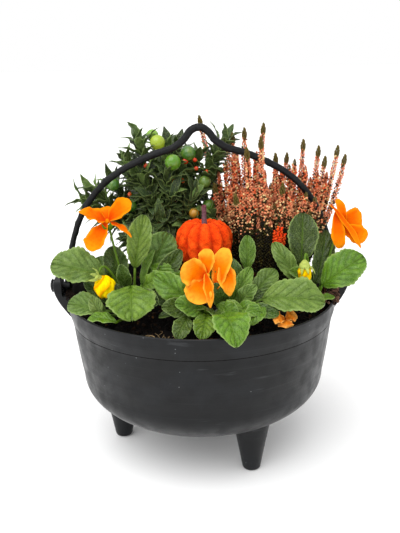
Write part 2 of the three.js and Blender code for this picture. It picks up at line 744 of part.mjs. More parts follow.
const BERRIES = [
  { place: [-38, 40, 135], radius: 7.2, color: 0xb9cc3a },
  { place: [-24, 31, 117], radius: 7.6, color: 0x6fae2e },
  { place: [-9, 40, 124], radius: 7.4, color: 0x4f8a2c },
  { place: [-82, 40, 96], radius: 6.6, color: 0x4f8428 },
  { place: [-66, 36, 76], radius: 6.4, color: 0x3f7426 },
  { place: [6, 36, 97], radius: 6.0, color: 0x5b7d33 },
  { place: [-5, 26, 69], radius: 5.0, color: 0xc08a2a },
  { place: [9, 36, 74], radius: 6.0, color: 0x4f7f2c },
  { place: [-43, 55, 140], radius: 6.0, color: 0x7aa832 },
];

// A pole of the ball points at the stalk.
function berry({ place, radius }) {
  const centre = at(place);
  const way = nearestBranchPoint(centre).sub(centre).normalize();
  const turn = new THREE.Quaternion().setFromUnitVectors(new THREE.Vector3(0, 0, 1), way);
  const geometry = ball(new THREE.Vector3(), [radius, radius, radius], 7, 5).applyQuaternion(turn);
  return toSolid(geometry.translate(centre.x, centre.y, centre.z));
}

// Where a stalk that comes from a point on a branch ends, just short of the berry's skin.
function berryEnd({ place, radius }, root) {
  const centre = at(place);
  return centre.addScaledVector(root.clone().sub(centre).normalize(), radius + FIT);
}

// ---------------------------------------------------------------------------------------------------
// Shrub: a trunk, branches to hand-set ends, and waved leaves in a turn round each branch

const TRUNK_TOP = [-34, 44, 34];
const BRANCHES = [
  [-55, 46, 133], [-97, 42, 88], [17, 50, 118], [-16, 44, 108], [-50, 36, 96], [-72, 40, 68],
  [-26, 27, 82], [-50, 22, 52], [4, 36, 62], [-40, 72, 108], [-80, 66, 88], [-8, 74, 92],
];
const LEAVES_PER_BRANCH = 5;

function branchLine(end) {
  const from = at([TRUNK_TOP[0], TRUNK_TOP[1], 8 + 26 * chance(end[0] + 2 * end[1])]);
  const tip = at(end);
  const pull = mix(from, tip, 0.5);
  pull.z += 8;
  return new THREE.QuadraticBezierCurve3(from, pull, tip);
}

// The leaves of one branch: from halfway along it to its end, each turned by the golden angle, the
// lower ones standing out sideways and the end ones pointing on along the branch.
function branchLeaves(end, index) {
  const line = branchLine(end);
  const leaves = [];
  for (let k = 0; k < LEAVES_PER_BRANCH; k++) {
    const share = (k + 0.5) / LEAVES_PER_BRANCH;
    const seed = index * 17 + k;
    const root = line.getPoint(0.55 + 0.45 * share);
    const along = line.getTangent(0.55 + 0.45 * share);
    const turn = k * GOLDEN_ANGLE + index;
    const sideways = new THREE.Vector3(0, 0, 1).cross(along).normalize();
    const upwards = along.clone().cross(sideways);
    const outward = sideways.multiplyScalar(Math.cos(turn)).addScaledVector(upwards, Math.sin(turn));
    const lean = degrees(78 - 44 * share);
    const way = along.clone().multiplyScalar(Math.cos(lean)).addScaledVector(outward, Math.sin(lean));
    way.z -= 0.15;
    way.normalize();
    const length = 26 + 9 * chance(seed);
    leaves.push({
      base: root,
      tip: root.clone().addScaledVector(way, length),
      faces: along.clone().addScaledVector(outward, -0.3).normalize(),
      width: 9 + 2.5 * chance(seed + 50),
      outline: 'lance',
      arch: 0.07,
      cup: 0.1,
      wave: 0.22,
      waves: 1.6,
      stations: 4,
      columns: 2,
    });
  }
  return leaves;
}

// Only leaves that stand clear of the other pieces and of the leaves before them are grown.
function shrubLeaves() {
  return BRANCHES.flatMap(branchLeaves).filter((leaf, k) => {
    const outerPart = bladePoints(leaf, 6, 3).slice(6);
    const free = isFree('shrub', outerPart, 1.6) && isFree(`shrub leaf ${k}`, outerPart, 1.0);
    if (free) occupy('shrub', outerPart, 1.0);
    return free;
  });
}

function nearestBranchPoint(point) {
  return BRANCHES.flatMap((end) => branchLine(end).getPoints(10))
    .sort((a, b) => a.distanceTo(point) - b.distanceTo(point))[0];
}

function shrub() {
  const trunkTop = at(TRUNK_TOP);
  const trunk = tube([crownTop('shrub'), mix(crownTop('shrub'), trunkTop, 0.5), trunkTop],
    (i) => [4, 3.4, 2.6][i], 6);
  const branches = BRANCHES.map((end) => tube(branchLine(end).getPoints(4), (i) => 2.4 - 0.2 * i, 4));
  const berryStalks = BERRIES.map((fruit) => {
    const nearest = nearestBranchPoint(at(fruit.place));
    return tube([nearest, berryEnd(fruit, nearest)], () => 1, 4);
  });
  return fuse([crownStub('shrub'), trunk, ...branches, ...berryStalks, ...shrubLeaves().map(blade)]);
}

// ---------------------------------------------------------------------------------------------------
// Pumpkin: a padded ball with puckered ribs, a twig in its top and a pick under it

const PUMPKIN = { middle: [3, -12, 48], ribs: 12 };
// The pumpkin's half outline, from under its middle to above it: radius, height from its middle.
const PUMPKIN_PROFILE = [
  [0, -16], [8, -20], [17, -19.5], [24, -12], [26.5, 0], [25, 11], [18.5, 19.5], [9, 21.5], [0, 17],
];
const TWIG_RADIUS = 2.6;
const TWIG_BOTTOM = 8;          // heights from the pumpkin's middle
const TWIG_TOP = 36;
const PICK_TOP = -8;

function pumpkin() {
  const middle = at(PUMPKIN.middle);
  const profile = PUMPKIN_PROFILE.map(([radius, height]) => new THREE.Vector2(radius, height));
  const geometry = new THREE.LatheGeometry(profile, 2 * PUMPKIN.ribs).rotateX(Math.PI / 2);
  const position = geometry.attributes.position;
  for (let i = 0; i < position.count; i++) {
    const around = Math.atan2(position.getY(i), position.getX(i));
    const groove = 1 - 0.11 * Math.max(0, Math.cos(PUMPKIN.ribs * around)) ** 2;
    position.setXYZ(i, position.getX(i) * groove, position.getY(i) * groove, position.getZ(i));
  }
  geometry.translate(middle.x, middle.y, middle.z);
  const twigHole = upright([middle.x, middle.y], middle.z + TWIG_BOTTOM - FIT, middle.z + 40,
    TWIG_RADIUS + FIT, TWIG_RADIUS + FIT, 10);
  const { radius } = crownOf('pick');
  const pickHole = upright([middle.x, middle.y], middle.z - 40, middle.z + PICK_TOP + FIT,
    radius + FIT, radius + FIT, 10);
  return toSolid(geometry).subtract(fuse([twigHole, pickHole]));
}

function pumpkinTwig() {
  const { x, y, z } = at(PUMPKIN.middle);
  const line = [TWIG_BOTTOM, 20, 28, TWIG_TOP].map((up, i) => new THREE.Vector3(x, y + 0.3 * i, z + up));
  return toSolid(tube(line, (i) => TWIG_RADIUS * [0.94, 0.94, 0.8, 0.9][i], 8));
}

function pumpkinPick() {
  const { place, radius, depth } = crownOf('pick');
  return toSolid(upright(place, RIM_HEIGHT - SOIL_DROP - depth, at(PUMPKIN.middle).z + PICK_TOP,
    radius, radius, 10));
}

// ---------------------------------------------------------------------------------------------------
// The assembly: one named mesh for each piece

function material(color, roughness, metalness = 0) {
  return new THREE.MeshStandardMaterial({ color, roughness, metalness });
}

const PLASTIC = material(0x2b2d2f, 0.5);
const SOIL = material(0x1a1512, 1);
const PANSY_GREEN = material(0x5f9440, 0.6);
const PETAL_ORANGE = material(0xff8c00, 0.7);
const BUD_YELLOW = material(0xffd51f, 0.7);
const WITHERED = material(0xc97a18, 0.8);
const SHRUB_GREEN = material(0x2f4a2c, 0.5);
const HEATHER_PINK = material(0xd96b4a, 0.9);
const VELVET = material(0xe8460c, 0.95);
const TWIG = material(0x6d4a4e, 0.9);
const WOOD = material(0xa27c4c, 0.8);

const planter = new THREE.Group();
planter.name = 'potted_pansy_planter';

function add(name, solid, look) {
  const mesh = new THREE.Mesh(toGeometry(solid), look);
  mesh.name = name;
  planter.add(mesh);
}

occupyBail();
occupyPansies();
occupy('pumpkin', [at(PUMPKIN.middle)], 28);
BERRIES.forEach((fruit) => occupy('berries', [at(fruit.place)], fruit.radius + 0.6));
occupyHeather();

add('pot', pot(), PLASTIC);
add('bail', bail(), PLASTIC);
add('soil', soil(), SOIL);
Object.keys(PANSY_LEAVES).forEach((plant) => {
  add(`${plant}_plant`, pansyPlant(plant), PANSY_GREEN);
  add(`${plant}_bloom`, bloom(BLOOMS[plant]), PETAL_ORANGE);
});
Object.keys(BUDS).forEach((plant) => add(`${plant}_bud`, bud(plant), BUD_YELLOW));
add('pansy_low_bloom', bloom(LOW_BLOOM), WITHERED);
Object.keys(HEATHER).forEach((bunch) => add(bunch, heather(bunch), HEATHER_PINK));
add('shrub', shrub(), SHRUB_GREEN);
BERRIES.forEach((fruit, k) => add(`berry_${k + 1}`, berry(fruit), material(fruit.color, 0.3)));
add('pumpkin', pumpkin(), VELVET);
add('pumpkin_twig', pumpkinTwig(), TWIG);
add('pumpkin_pick', pumpkinPick(), WOOD);

export default planter;
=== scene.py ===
# %% [markdown]
# # A planted cauldron pot
#
# The object is a black plastic cauldron with three legs and a swinging bail. It is filled with soil and
# planted with three pansies, a berry shrub and heather, round a velvet pumpkin on a stick. The solids of
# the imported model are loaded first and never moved. Every piece made here lies in the same place as the
# solid it stands for, and is finer.

import bmesh
import bpy
import numpy as np
from mathutils import Matrix


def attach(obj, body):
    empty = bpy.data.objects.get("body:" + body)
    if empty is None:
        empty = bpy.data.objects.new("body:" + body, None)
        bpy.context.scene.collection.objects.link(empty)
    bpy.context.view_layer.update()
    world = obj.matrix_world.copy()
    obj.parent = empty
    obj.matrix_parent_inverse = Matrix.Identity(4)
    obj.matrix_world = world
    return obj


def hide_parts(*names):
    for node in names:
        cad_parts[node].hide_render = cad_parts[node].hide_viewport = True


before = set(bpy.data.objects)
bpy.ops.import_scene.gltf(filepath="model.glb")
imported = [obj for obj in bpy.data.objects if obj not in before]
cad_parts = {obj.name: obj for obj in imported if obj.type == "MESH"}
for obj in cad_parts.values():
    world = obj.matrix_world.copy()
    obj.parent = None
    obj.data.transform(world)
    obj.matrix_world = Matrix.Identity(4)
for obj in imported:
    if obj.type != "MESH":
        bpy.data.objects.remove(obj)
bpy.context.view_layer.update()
MM = 0.001
print("nodes in the frame:", len(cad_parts))

# %% [markdown]
# ## The camera
#
# A photograph's viewing angle is settled before any shape, because each later comparison depends on it.
# The rim's ellipse, the three feet and the top of the bail gave the distance, the height and the focal
# length. The camera is built from its three axes, so its small roll needs no Euler angles.

# %% The camera at the photograph's angle
EYE = np.array([-20.5, -649.2, 360.6]) * MM
FOCAL_PIXELS = 722.1
FRAME_HEIGHT = 533
SENSOR_WIDTH = 36
HEADING, PITCH, ROLL = np.radians([1.7, 16.25, -1.146])


def camera_axes(heading, pitch, roll):
    """Right, up and ahead: ahead is turned from +Y by the heading and dips by the pitch, and the roll
    turns the other two about it."""
    ahead = np.array([np.sin(heading) * np.cos(pitch), np.cos(heading) * np.cos(pitch), -np.sin(pitch)])
    level = np.array([np.cos(heading), -np.sin(heading), 0])
    above = np.cross(level, ahead)
    right = np.cos(roll) * level + np.sin(roll) * above
    return right, np.cross(right, ahead), ahead


right, up, ahead = camera_axes(HEADING, PITCH, ROLL)
camera_data = bpy.data.cameras.new("camera")
camera_data.sensor_width = SENSOR_WIDTH
camera_data.lens = SENSOR_WIDTH * FOCAL_PIXELS / FRAME_HEIGHT
camera_data.clip_start = 0.01
camera = bpy.data.objects.new("camera", camera_data)
bpy.context.scene.collection.objects.link(camera)
turn = Matrix([list(row) for row in np.stack([right, up, -ahead], axis=1)])
camera.matrix_world = Matrix.Translation(EYE.tolist()) @ turn.to_4x4()
bpy.context.scene.camera = camera
print("lens", round(camera_data.lens, 2), "mm")

# %% [markdown]
# ## Surfaces from numbers
#
# Every shape here is a grid of points that a formula gives, so the helpers work on whole arrays. A part is
# a set of points with its faces, and for each point a place on the surface (UV) and a colour. Many parts
# are gathered into one mesh, which is filled in one go.

# %% Small helpers for arrays
RIM_HEIGHT = 148


def unit(vectors):
    """Each vector divided by its length."""
    return vectors / np.maximum(np.linalg.norm(vectors, axis=-1, keepdims=True), 1e-12)


def at(place):
    """A point, or many, given in millimetres with its height above the rim."""
    return (np.asarray(place, float) + np.array([0, 0, RIM_HEIGHT])) * MM


def paint(code):
    """A colour written as six hexadecimal digits, as linear light."""
    share = np.array([int(code[k:k + 2], 16) for k in (0, 2, 4)]) / 255
    return np.where(share <= 0.04045, share / 12.92, ((share + 0.055) / 1.055) ** 2.4)


def mix(a, b, share):
    """The point or colour that lies that share of the way from a to b."""
    return a + (b - a) * share


def bow(start, pull, end, shares):
    """Points on a quadratic curve: (1-s)^2 start + 2s(1-s) pull + s^2 end."""
    s = np.asarray(shares, float)[:, None]
    return (1 - s) ** 2 * start + 2 * s * (1 - s) * pull + s ** 2 * end


def ripples(points, size, seed, count=14):
    """A smooth random field: a sum of sine waves in random directions, each about size long, scaled so
    that it varies by about one."""
    chance = np.random.default_rng(seed)
    ways = unit(chance.normal(size=(count, points.shape[-1])))
    ways = ways * chance.uniform(0.6, 1.6, (count, 1)) * 2 * np.pi / size
    return np.sin(points @ ways.T + chance.uniform(0, 2 * np.pi, count)).sum(-1) / np.sqrt(count / 2)


# %% Grids, parts and meshes
def grid_faces(rows, columns, wrap=False):
    """The corners of the four-sided faces between neighbouring rows and columns of a grid."""
    number = np.arange(rows * columns).reshape(rows, columns)
    if wrap:
        number = np.concatenate([number, number[:, :1]], axis=1)
    corners = [number[:-1, :-1], number[:-1, 1:], number[1:, 1:], number[1:, :-1]]
    return np.stack(corners, -1).reshape(-1, 4)


def part(points, quads=None, triangles=None, uv=None, tint=(1, 1, 1)):
    """Points with their faces, their place on the surface and their colour."""
    count = len(points)
    return {
        "points": np.asarray(points, float),
        "quads": np.zeros((0, 4), int) if quads is None else quads,
        "triangles": np.zeros((0, 3), int) if triangles is None else triangles,
        "uv": np.zeros((count, 2)) if uv is None else uv,
        "tint": np.broadcast_to(np.asarray(tint, float), (count, 3)),
    }


def capped(rings, poles, uv=None, tint=(1, 1, 1), inward=False):
    """A closed part: a grid of rings, the first and the last of which run together in a pole each. Where
    the rings run the other way round, inward turns the faces back."""
    rows, sides = rings.shape[:2]
    k, last = np.arange(sides), rows * sides
    after = (k + 1) % sides
    first = np.stack([np.full(sides, last), after, k], 1)
    final = np.stack([np.full(sides, last + 1), last - sides + k, last - sides + after], 1)
    quads, triangles = grid_faces(rows, sides, True), np.concatenate([first, final])
    if inward:
        quads, triangles = quads[:, ::-1], triangles[:, ::-1]
    return part(np.concatenate([rings.reshape(-1, 3), poles]), quads, triangles, uv, tint)


def gather(parts):
    """All the parts as one, with the corner numbers of each raised by the count of points before it."""
    starts = np.cumsum([0] + [len(p["points"]) for p in parts])[:-1]
    return {
        "points": np.concatenate([p["points"] for p in parts]),
        "quads": np.concatenate([p["quads"] + s for p, s in zip(parts, starts)]),
        "triangles": np.concatenate([p["triangles"] + s for p, s in zip(parts, starts)]),
        "uv": np.concatenate([p["uv"] for p in parts]),
        "tint": np.concatenate([p["tint"] for p in parts]),
    }


# %% Filling a mesh, and what each piece is given
def to_object(name, parts):
    """A smooth-shaded mesh object of the parts, at the origin, with a UV map and a colour for each point."""
    whole = gather(parts)
    mesh = bpy.data.meshes.new(name)
    corners = np.concatenate([whole["quads"].ravel(), whole["triangles"].ravel()]).astype(np.int32)
    sizes = np.concatenate([np.full(len(whole["quads"]), 4), np.full(len(whole["triangles"]), 3)])
    mesh.vertices.add(len(whole["points"]))
    mesh.vertices.foreach_set("co", whole["points"].astype(np.float32).ravel())
    mesh.loops.add(len(corners))
    mesh.loops.foreach_set("vertex_index", corners)
    mesh.polygons.add(len(sizes))
    mesh.polygons.foreach_set("loop_start", (np.cumsum(sizes) - sizes).astype(np.int32))
    mesh.polygons.foreach_set("use_smooth", np.ones(len(sizes), bool))
    mesh.update(calc_edges=True)
    place = mesh.uv_layers.new(name="place")
    place.data.foreach_set("uv", whole["uv"][corners].astype(np.float32).ravel())
    colours = np.concatenate([whole["tint"], np.ones((len(whole["tint"]), 1))], axis=1)
    tint = mesh.color_attributes.new(name="tint", type="FLOAT_COLOR", domain="POINT")
    tint.data.foreach_set("color", colours.astype(np.float32).ravel())
    piece = bpy.data.objects.new(name, mesh)
    bpy.context.scene.collection.objects.link(piece)
    return piece


def finish_piece(piece, material, node, body="planter"):
    """Gives the piece its finish and the body it rides on, and hides the solid it stands for, if there is
    one.
    """
    piece.data.materials.clear()
    piece.data.materials.append(material)
    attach(piece, body)
    if node:
        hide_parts(node)
    print(f"{piece.name}: {len(piece.data.polygons)} faces")
    return piece


# %% [markdown]
# ## Tubes, turned shapes and scattered grains
#
# A stem is a ring carried along a line, a pot is a profile carried round an axis, and a heather bud is one
# small closed shape set down thousands of times. Each is a few lines with arrays.

# %% Tube, turned shape and scattered shape
def tube(line, radius, sides=8, tint=(1, 1, 1), reference=None):
    """A closed tube: ring k lies across the line's direction at point k, with the radius there."""
    line = np.asarray(line, float)
    along = unit(np.gradient(line, axis=0))
    if reference is None:
        reference = np.eye(3)[np.argmin(np.abs(along.mean(0)))]
    across = unit(reference - along * (along @ reference)[:, None])
    other = np.cross(along, across)
    angle = 2 * np.pi * np.arange(sides) / sides
    radius = np.broadcast_to(np.asarray(radius, float), (len(line),))
    ring = np.cos(angle)[None, :, None] * across[:, None] + np.sin(angle)[None, :, None] * other[:, None]
    points = line[:, None] + radius[:, None, None] * ring
    u = np.linspace(0, 1, len(line))[:, None]
    uv = np.stack(np.broadcast_arrays(u, angle[None] / (2 * np.pi)), -1).reshape(-1, 2)
    return capped(points, line[[0, -1]], np.concatenate([uv, [[0, 0], [1, 0]]]), tint)


def bent_tube(start, pull, end, radius, sides, tint, count=6):
    """A tube of one thickness along the curve that the pull bends, all in millimetres from the rim."""
    return tube(at(bow(start, pull, end, np.linspace(0, 1, count))), radius * MM, sides, tint)


def turned(profile, sides, tint=(1, 1, 1)):
    """A closed surface of revolution about Z: the profile's first and last point lie on the axis."""
    profile = np.asarray(profile, float)
    inner = profile[1:-1]
    angle = 2 * np.pi * np.arange(sides) / sides
    circle = np.stack([np.cos(angle), np.sin(angle)], -1)
    flat = inner[:, 0, None, None] * circle[None]
    high = np.broadcast_to(inner[:, 1, None, None], flat.shape[:2] + (1,))
    poles = np.array([[0, 0, profile[0, 1]], [0, 0, profile[-1, 1]]])
    return capped(np.concatenate([flat, high], -1), poles, tint=tint)


def scattered(shape, places, ways, spins, sizes, tints):
    """The shape set down at each place, with its Z along the way there, spun about it and scaled to
    sizes (across, across, along), and coloured by the tints."""
    ways = unit(ways)
    helper = np.where(np.abs(ways[:, 2:]) > 0.9, [[1.0, 0, 0]], [[0, 0, 1.0]])
    side = unit(np.cross(helper, ways))
    other = np.cross(ways, side)
    c, s = np.cos(spins)[:, None], np.sin(spins)[:, None]
    axes = np.stack([c * side + s * other, c * other - s * side, ways], 1) * sizes[:, :, None]
    points = places[:, None] + np.einsum("pi,nij->npj", shape["points"], axes)
    count, number = len(shape["points"]), len(places)
    shift = (np.arange(number) * count)[:, None, None]
    return part(points.reshape(-1, 3), (shape["quads"][None] + shift).reshape(-1, 4),
                (shape["triangles"][None] + shift).reshape(-1, 3),
                np.tile(shape["uv"], (number, 1)), np.repeat(tints, count, axis=0))


def grain(sides=6, rings=3):
    """A small ball with few faces, one unit in radius, with its poles along Z."""
    angle = np.linspace(-np.pi / 2, np.pi / 2, rings + 2)
    return turned(np.stack([np.cos(angle).round(6), np.sin(angle)], 1), sides)


# %% [markdown]
# ## Blades: leaves and petals
#
# A leaf is thin but closed: an upper and a lower face and a narrow edge between them. Its middle runs from
# the base to the tip and bows up, its sides rise, and its outline follows a power of a sine. Side veins
# leave the midrib at a slant, and the skin swells between them. The veins' lines use the same formula in
# the material, so that the light catches what the colour shows.

# %% The blade
OUTLINES = {
    "leaf": lambda t: 0.08 + 0.92 * np.sin(np.pi * t ** 1.2).clip(0) ** 0.55,
    "lance": lambda t: 0.10 + 0.90 * np.sin(np.pi * t ** 0.85).clip(0) ** 0.9,
    "petal": lambda t: 0.12 + 0.88 * np.sin(np.pi * t ** 1.5).clip(0) ** 0.5,
}
VEINS_ALONG = 5.5
VEIN_SLANT = 0.42
UNDERSIDE = np.array([0.17, 0.24, 0.10])


def blade(base, tip, faces, width, outline="leaf", arch=0.08, cup=0.12, fold=0, wave=0, waves=3, teeth=0,
          tooth=0.05, pucker=0, curl=0, ragged=0, rows=41, columns=17, thick=0.5 * MM, tint=(1, 1, 1),
          under=0.25, jitter=0):
    """The middle bows up by arch times the length. The sides rise by cup times the half width, and by
    fold as a V. The edge waves, each tooth scallops it, and ragged draws it in and out by two sines that
    differ from side to side. Pucker lifts the skin between the side veins, curl bends the tip down by the
    fourth power of the way along, and under pales the lower face."""
    length = np.linalg.norm(tip - base)
    along = (tip - base) / length
    normal = unit(faces - along * (faces @ along))
    side = np.cross(normal, along)
    u, w = np.meshgrid(np.linspace(0, 1, rows), np.linspace(-1, 1, columns), indexing="ij")
    t = u if outline == "lance" else np.sin(np.pi / 2 * u)
    scallop = 1 - tooth * (1 - np.abs(np.sin(np.pi * teeth * u)) ** 0.6) if teeth else 1
    other = np.where(w > 0, 2.1, 0) + jitter
    torn = ragged * (np.sin(14 * u + other) + 0.6 * np.sin(33 * u + 2.7 * other))
    half = width / 2 * OUTLINES[outline](t) * (1 + (scallop - 1 + torn) * np.abs(w) ** 3)
    phase = VEINS_ALONG * (t - VEIN_SLANT * np.abs(w)) * np.pi
    swell = pucker * np.abs(np.sin(phase)) * np.sin(np.pi * np.abs(w)).clip(0) ** 0.5
    rise = (arch * length * 4 * t * (1 - t) + half * (cup * w * w + fold * np.abs(w))
            + wave * half * np.abs(w) * np.sin(2 * np.pi * waves * t + np.where(w > 0, 0, 1.9) + jitter)
            + swell - pucker * 0.6 * np.exp(-(w / 0.08) ** 2) - curl * length * (t ** 4))
    middle = (base + along * (length * t)[..., None] + side * (half * w)[..., None]
              + normal * rise[..., None])
    thin = thick / 2 * (1 - 0.5 * np.abs(w))
    upper = middle + normal * thin[..., None]
    lower = middle - normal * thin[..., None]
    count = rows * columns
    faces_down = grid_faces(rows, columns)
    number = np.arange(count).reshape(rows, columns)
    edge = np.concatenate([number[:-1, 0], number[-1, :-1], number[:0:-1, -1], number[0, :0:-1]])
    after = np.roll(edge, -1)
    rim = np.stack([edge + count, after + count, after, edge], 1)
    uv = np.stack([t, (w + 1) / 2], -1).reshape(-1, 2)
    tint = np.broadcast_to(np.asarray(tint, float), (count, 3))
    pale = mix(tint, UNDERSIDE, under)
    return part(np.concatenate([upper.reshape(-1, 3), lower.reshape(-1, 3)]),
                np.concatenate([faces_down[:, ::-1], faces_down + count, rim]),
                uv=np.concatenate([uv, uv]), tint=np.concatenate([tint, pale]))


# %% [markdown]
# ## Finishes
#
# Each material starts from the colour that the points carry, or from one colour, and adds what the real
# skin shows: veins, mottling, pile or dust. A small node helper keeps the trees readable.

# %% A short way to write node trees
class Tree:
    """A material's node tree with one Principled shader. Most methods add a node and give its output."""

    def __init__(self, name, roughness=0.5, **sockets):
        self.material = bpy.data.materials.new(name)
        self.material.use_nodes = True
        self.nodes = self.material.node_tree.nodes
        self.links = self.material.node_tree.links
        self.shader = self.nodes["Principled BSDF"]
        self.shader.inputs["Roughness"].default_value = roughness
        for socket, value in sockets.items():
            self.shader.inputs[socket.replace("_", " ")].default_value = value

    def feed(self, socket, value):
        """Links an output to the socket, or sets the socket to a number or colour."""
        if isinstance(value, bpy.types.NodeSocket):
            self.links.new(value, socket)
        elif np.ndim(value) == 1 and len(value) == 3 and socket.type == "RGBA":
            socket.default_value = (*value, 1)
        else:
            socket.default_value = value

    def math(self, operation, a, b=0.0, c=0.0):
        """One sum, such as ADD or MULTIPLY_ADD, of up to three values."""
        node = self.nodes.new("ShaderNodeMath")
        node.operation = operation
        for socket, value in zip(node.inputs, (a, b, c)):
            self.feed(socket, value)
        return node.outputs[0]

    def blend(self, share, a, b, way="MIX"):
        """Mixes colour a with b by the share, or multiplies a by b where the way says so."""
        node = self.nodes.new("ShaderNodeMix")
        node.data_type = "RGBA"
        node.blend_type = way
        self.feed(node.inputs["Factor"], share)
        self.feed(node.inputs[6], a)
        self.feed(node.inputs[7], b)
        return node.outputs[2]

    def between(self, value, low, high, to_low=0.0, to_high=1.0):
        """The value from low to high, mapped smoothly onto the second range."""
        node = self.nodes.new("ShaderNodeMapRange")
        node.interpolation_type = "SMOOTHSTEP"
        for socket, number in zip(node.inputs, (value, low, high, to_low, to_high)):
            self.feed(socket, number)
        return node.outputs[0]

    def coordinate(self, stretch=(1, 1, 1)):
        """Object coordinates, stretched by three numbers."""
        place = self.nodes.new("ShaderNodeTexCoord").outputs["Object"]
        node = self.nodes.new("ShaderNodeMapping")
        node.inputs["Scale"].default_value = stretch
        self.links.new(place, node.inputs["Vector"])
        return node.outputs[0]

    def noise(self, size, detail=3.0, stretch=(1, 1, 1)):
        """Noise whose lumps are about size metres long."""
        node = self.nodes.new("ShaderNodeTexNoise")
        self.links.new(self.coordinate(stretch), node.inputs["Vector"])
        node.inputs["Scale"].default_value = 1 / size
        node.inputs["Detail"].default_value = detail
        return node.outputs["Fac"]

    def cells(self, size, feature="F1"):
        """Distance to the nearest of scattered points about size metres apart, or to their cells' edge."""
        node = self.nodes.new("ShaderNodeTexVoronoi")
        node.feature = feature
        self.links.new(self.coordinate(), node.inputs["Vector"])
        node.inputs["Scale"].default_value = 1 / size
        return node.outputs["Distance"]

    def tint(self):
        """The colour that the points carry."""
        node = self.nodes.new("ShaderNodeAttribute")
        node.attribute_name = "tint"
        return node.outputs["Color"]

    def place(self):
        """The two parts of the UV place: along the blade and across it from 0 to 1."""
        node = self.nodes.new("ShaderNodeUVMap")
        node.uv_map = "place"
        split = self.nodes.new("ShaderNodeSeparateXYZ")
        self.links.new(node.outputs[0], split.inputs[0])
        return split.outputs[0], split.outputs[1]

    def bump(self, height, distance):
        """Dents the surface by the height times the distance in metres."""
        node = self.nodes.new("ShaderNodeBump")
        node.inputs["Distance"].default_value = distance
        node.inputs["Strength"].default_value = 1.0
        self.links.new(height, node.inputs["Height"])
        old = self.shader.inputs["Normal"]
        if old.links:
            self.links.new(old.links[0].from_socket, node.inputs["Normal"])
        self.links.new(node.outputs[0], old)

    def colour(self, value):
        """Feeds the base colour, and gives the material."""
        self.feed(self.shader.inputs["Base Color"], value)
        return self.material

    def rough(self, value):
        """Feeds the roughness."""
        self.feed(self.shader.inputs["Roughness"], value)


# %% The leaf finish
# The pale edge colour below is a painted highlight along the leaves' edges.
VEIN_COLOUR, NET_COLOUR, EDGE_HIGHLIGHT_COLOUR = (0.26, 0.38, 0.11), (0.34, 0.46, 0.14), (0.30, 0.42, 0.12)
MOTTLE_SHADE, AREA_SHADE = (0.6, 0.7, 0.45), (0.76, 0.80, 0.66)
PLEAT_PAINTED_SHADE, HOLLOW_PAINTED_SHADE = (0.5, 0.6, 0.42), (0.45, 0.52, 0.36)


def leaf_finish(name, vein_count, slant, vein, edge_highlight, roughness, depth):
    """Side veins where vein_count * (along - slant * |across|) is whole, with painted shade in the grooves
    beside them, a pale midrib, a pale edge painted as a highlight, a fine net, and mottling and wide darker
    areas over it all."""
    tree = Tree(name, roughness, Specular_IOR_Level=0.3)
    along, across = tree.place()
    off = tree.math("ABSOLUTE", tree.math("MULTIPLY_ADD", across, 2.0, -1.0))
    slanted = tree.math("SUBTRACT", along, tree.math("MULTIPLY", off, slant))
    phase = tree.math("MULTIPLY", slanted, vein_count)
    near = tree.math("ABSOLUTE", tree.math("SUBTRACT", tree.math("FRACT", phase), 0.5))
    side_vein = tree.between(near, 0.42, 0.5)
    side_vein = tree.math("MULTIPLY", side_vein, tree.between(off, 0.98, 0.5, 0.1, 0.8))
    midrib = tree.between(off, 0.08, 0.02)
    lines = tree.math("MAXIMUM", side_vein, midrib)
    base = tree.blend(1.0, tree.tint(), (1.14, 1.14, 0.82), "MULTIPLY")
    area = tree.noise(17 * MM, 2)
    base = tree.blend(tree.between(area, 0.38, 0.62), base, AREA_SHADE, "MULTIPLY")
    mottle = tree.noise(5 * MM, 5)
    base = tree.blend(tree.between(mottle, 0.36, 0.68), base, MOTTLE_SHADE, "MULTIPLY")
    # Painted shade: the skin darkens where it slopes down into each vein's groove.
    painted_pleat_shade = tree.between(near, 0.1, 0.45, 0, 0.25)
    base = tree.blend(painted_pleat_shade, base, PLEAT_PAINTED_SHADE, "MULTIPLY")
    net = tree.cells(2.0 * MM, "DISTANCE_TO_EDGE")
    base = tree.blend(tree.between(net, 0.08, 0.02, 0, 0.25), base, NET_COLOUR)
    # Painted shade in the grooves along the side veins.
    painted_hollow_shade = tree.math("MULTIPLY", tree.between(near, 0.44, 0.49), tree.between(off, 0.95, 0.4, 0.1, 0.4))
    base = tree.blend(painted_hollow_shade, base, HOLLOW_PAINTED_SHADE, "MULTIPLY")
    base = tree.blend(tree.math("MULTIPLY", lines, vein), base, VEIN_COLOUR)
    # Painted highlight: the skin lightens towards the edge.
    base = tree.blend(tree.between(off, 0.84, 1.0, 0, edge_highlight), base, EDGE_HIGHLIGHT_COLOUR)
    tree.bump(mottle, 0.9 * MM)
    tree.bump(tree.noise(1.4 * MM, 3), 0.25 * MM)
    tree.bump(lines, depth)
    tree.rough(tree.between(tree.noise(6 * MM), 0.3, 0.7, roughness - 0.06, roughness + 0.08))
    return tree.colour(base)


PANSY_LEAF = leaf_finish("pansy_leaf", VEINS_ALONG, VEIN_SLANT, vein=0.4, edge_highlight=0.6, roughness=0.36,
                         depth=-0.5 * MM)
SHRUB_LEAF = leaf_finish("shrub_leaf", 6.0, 0.3, vein=0.3, edge_highlight=0.65, roughness=0.38, depth=-0.2 * MM)


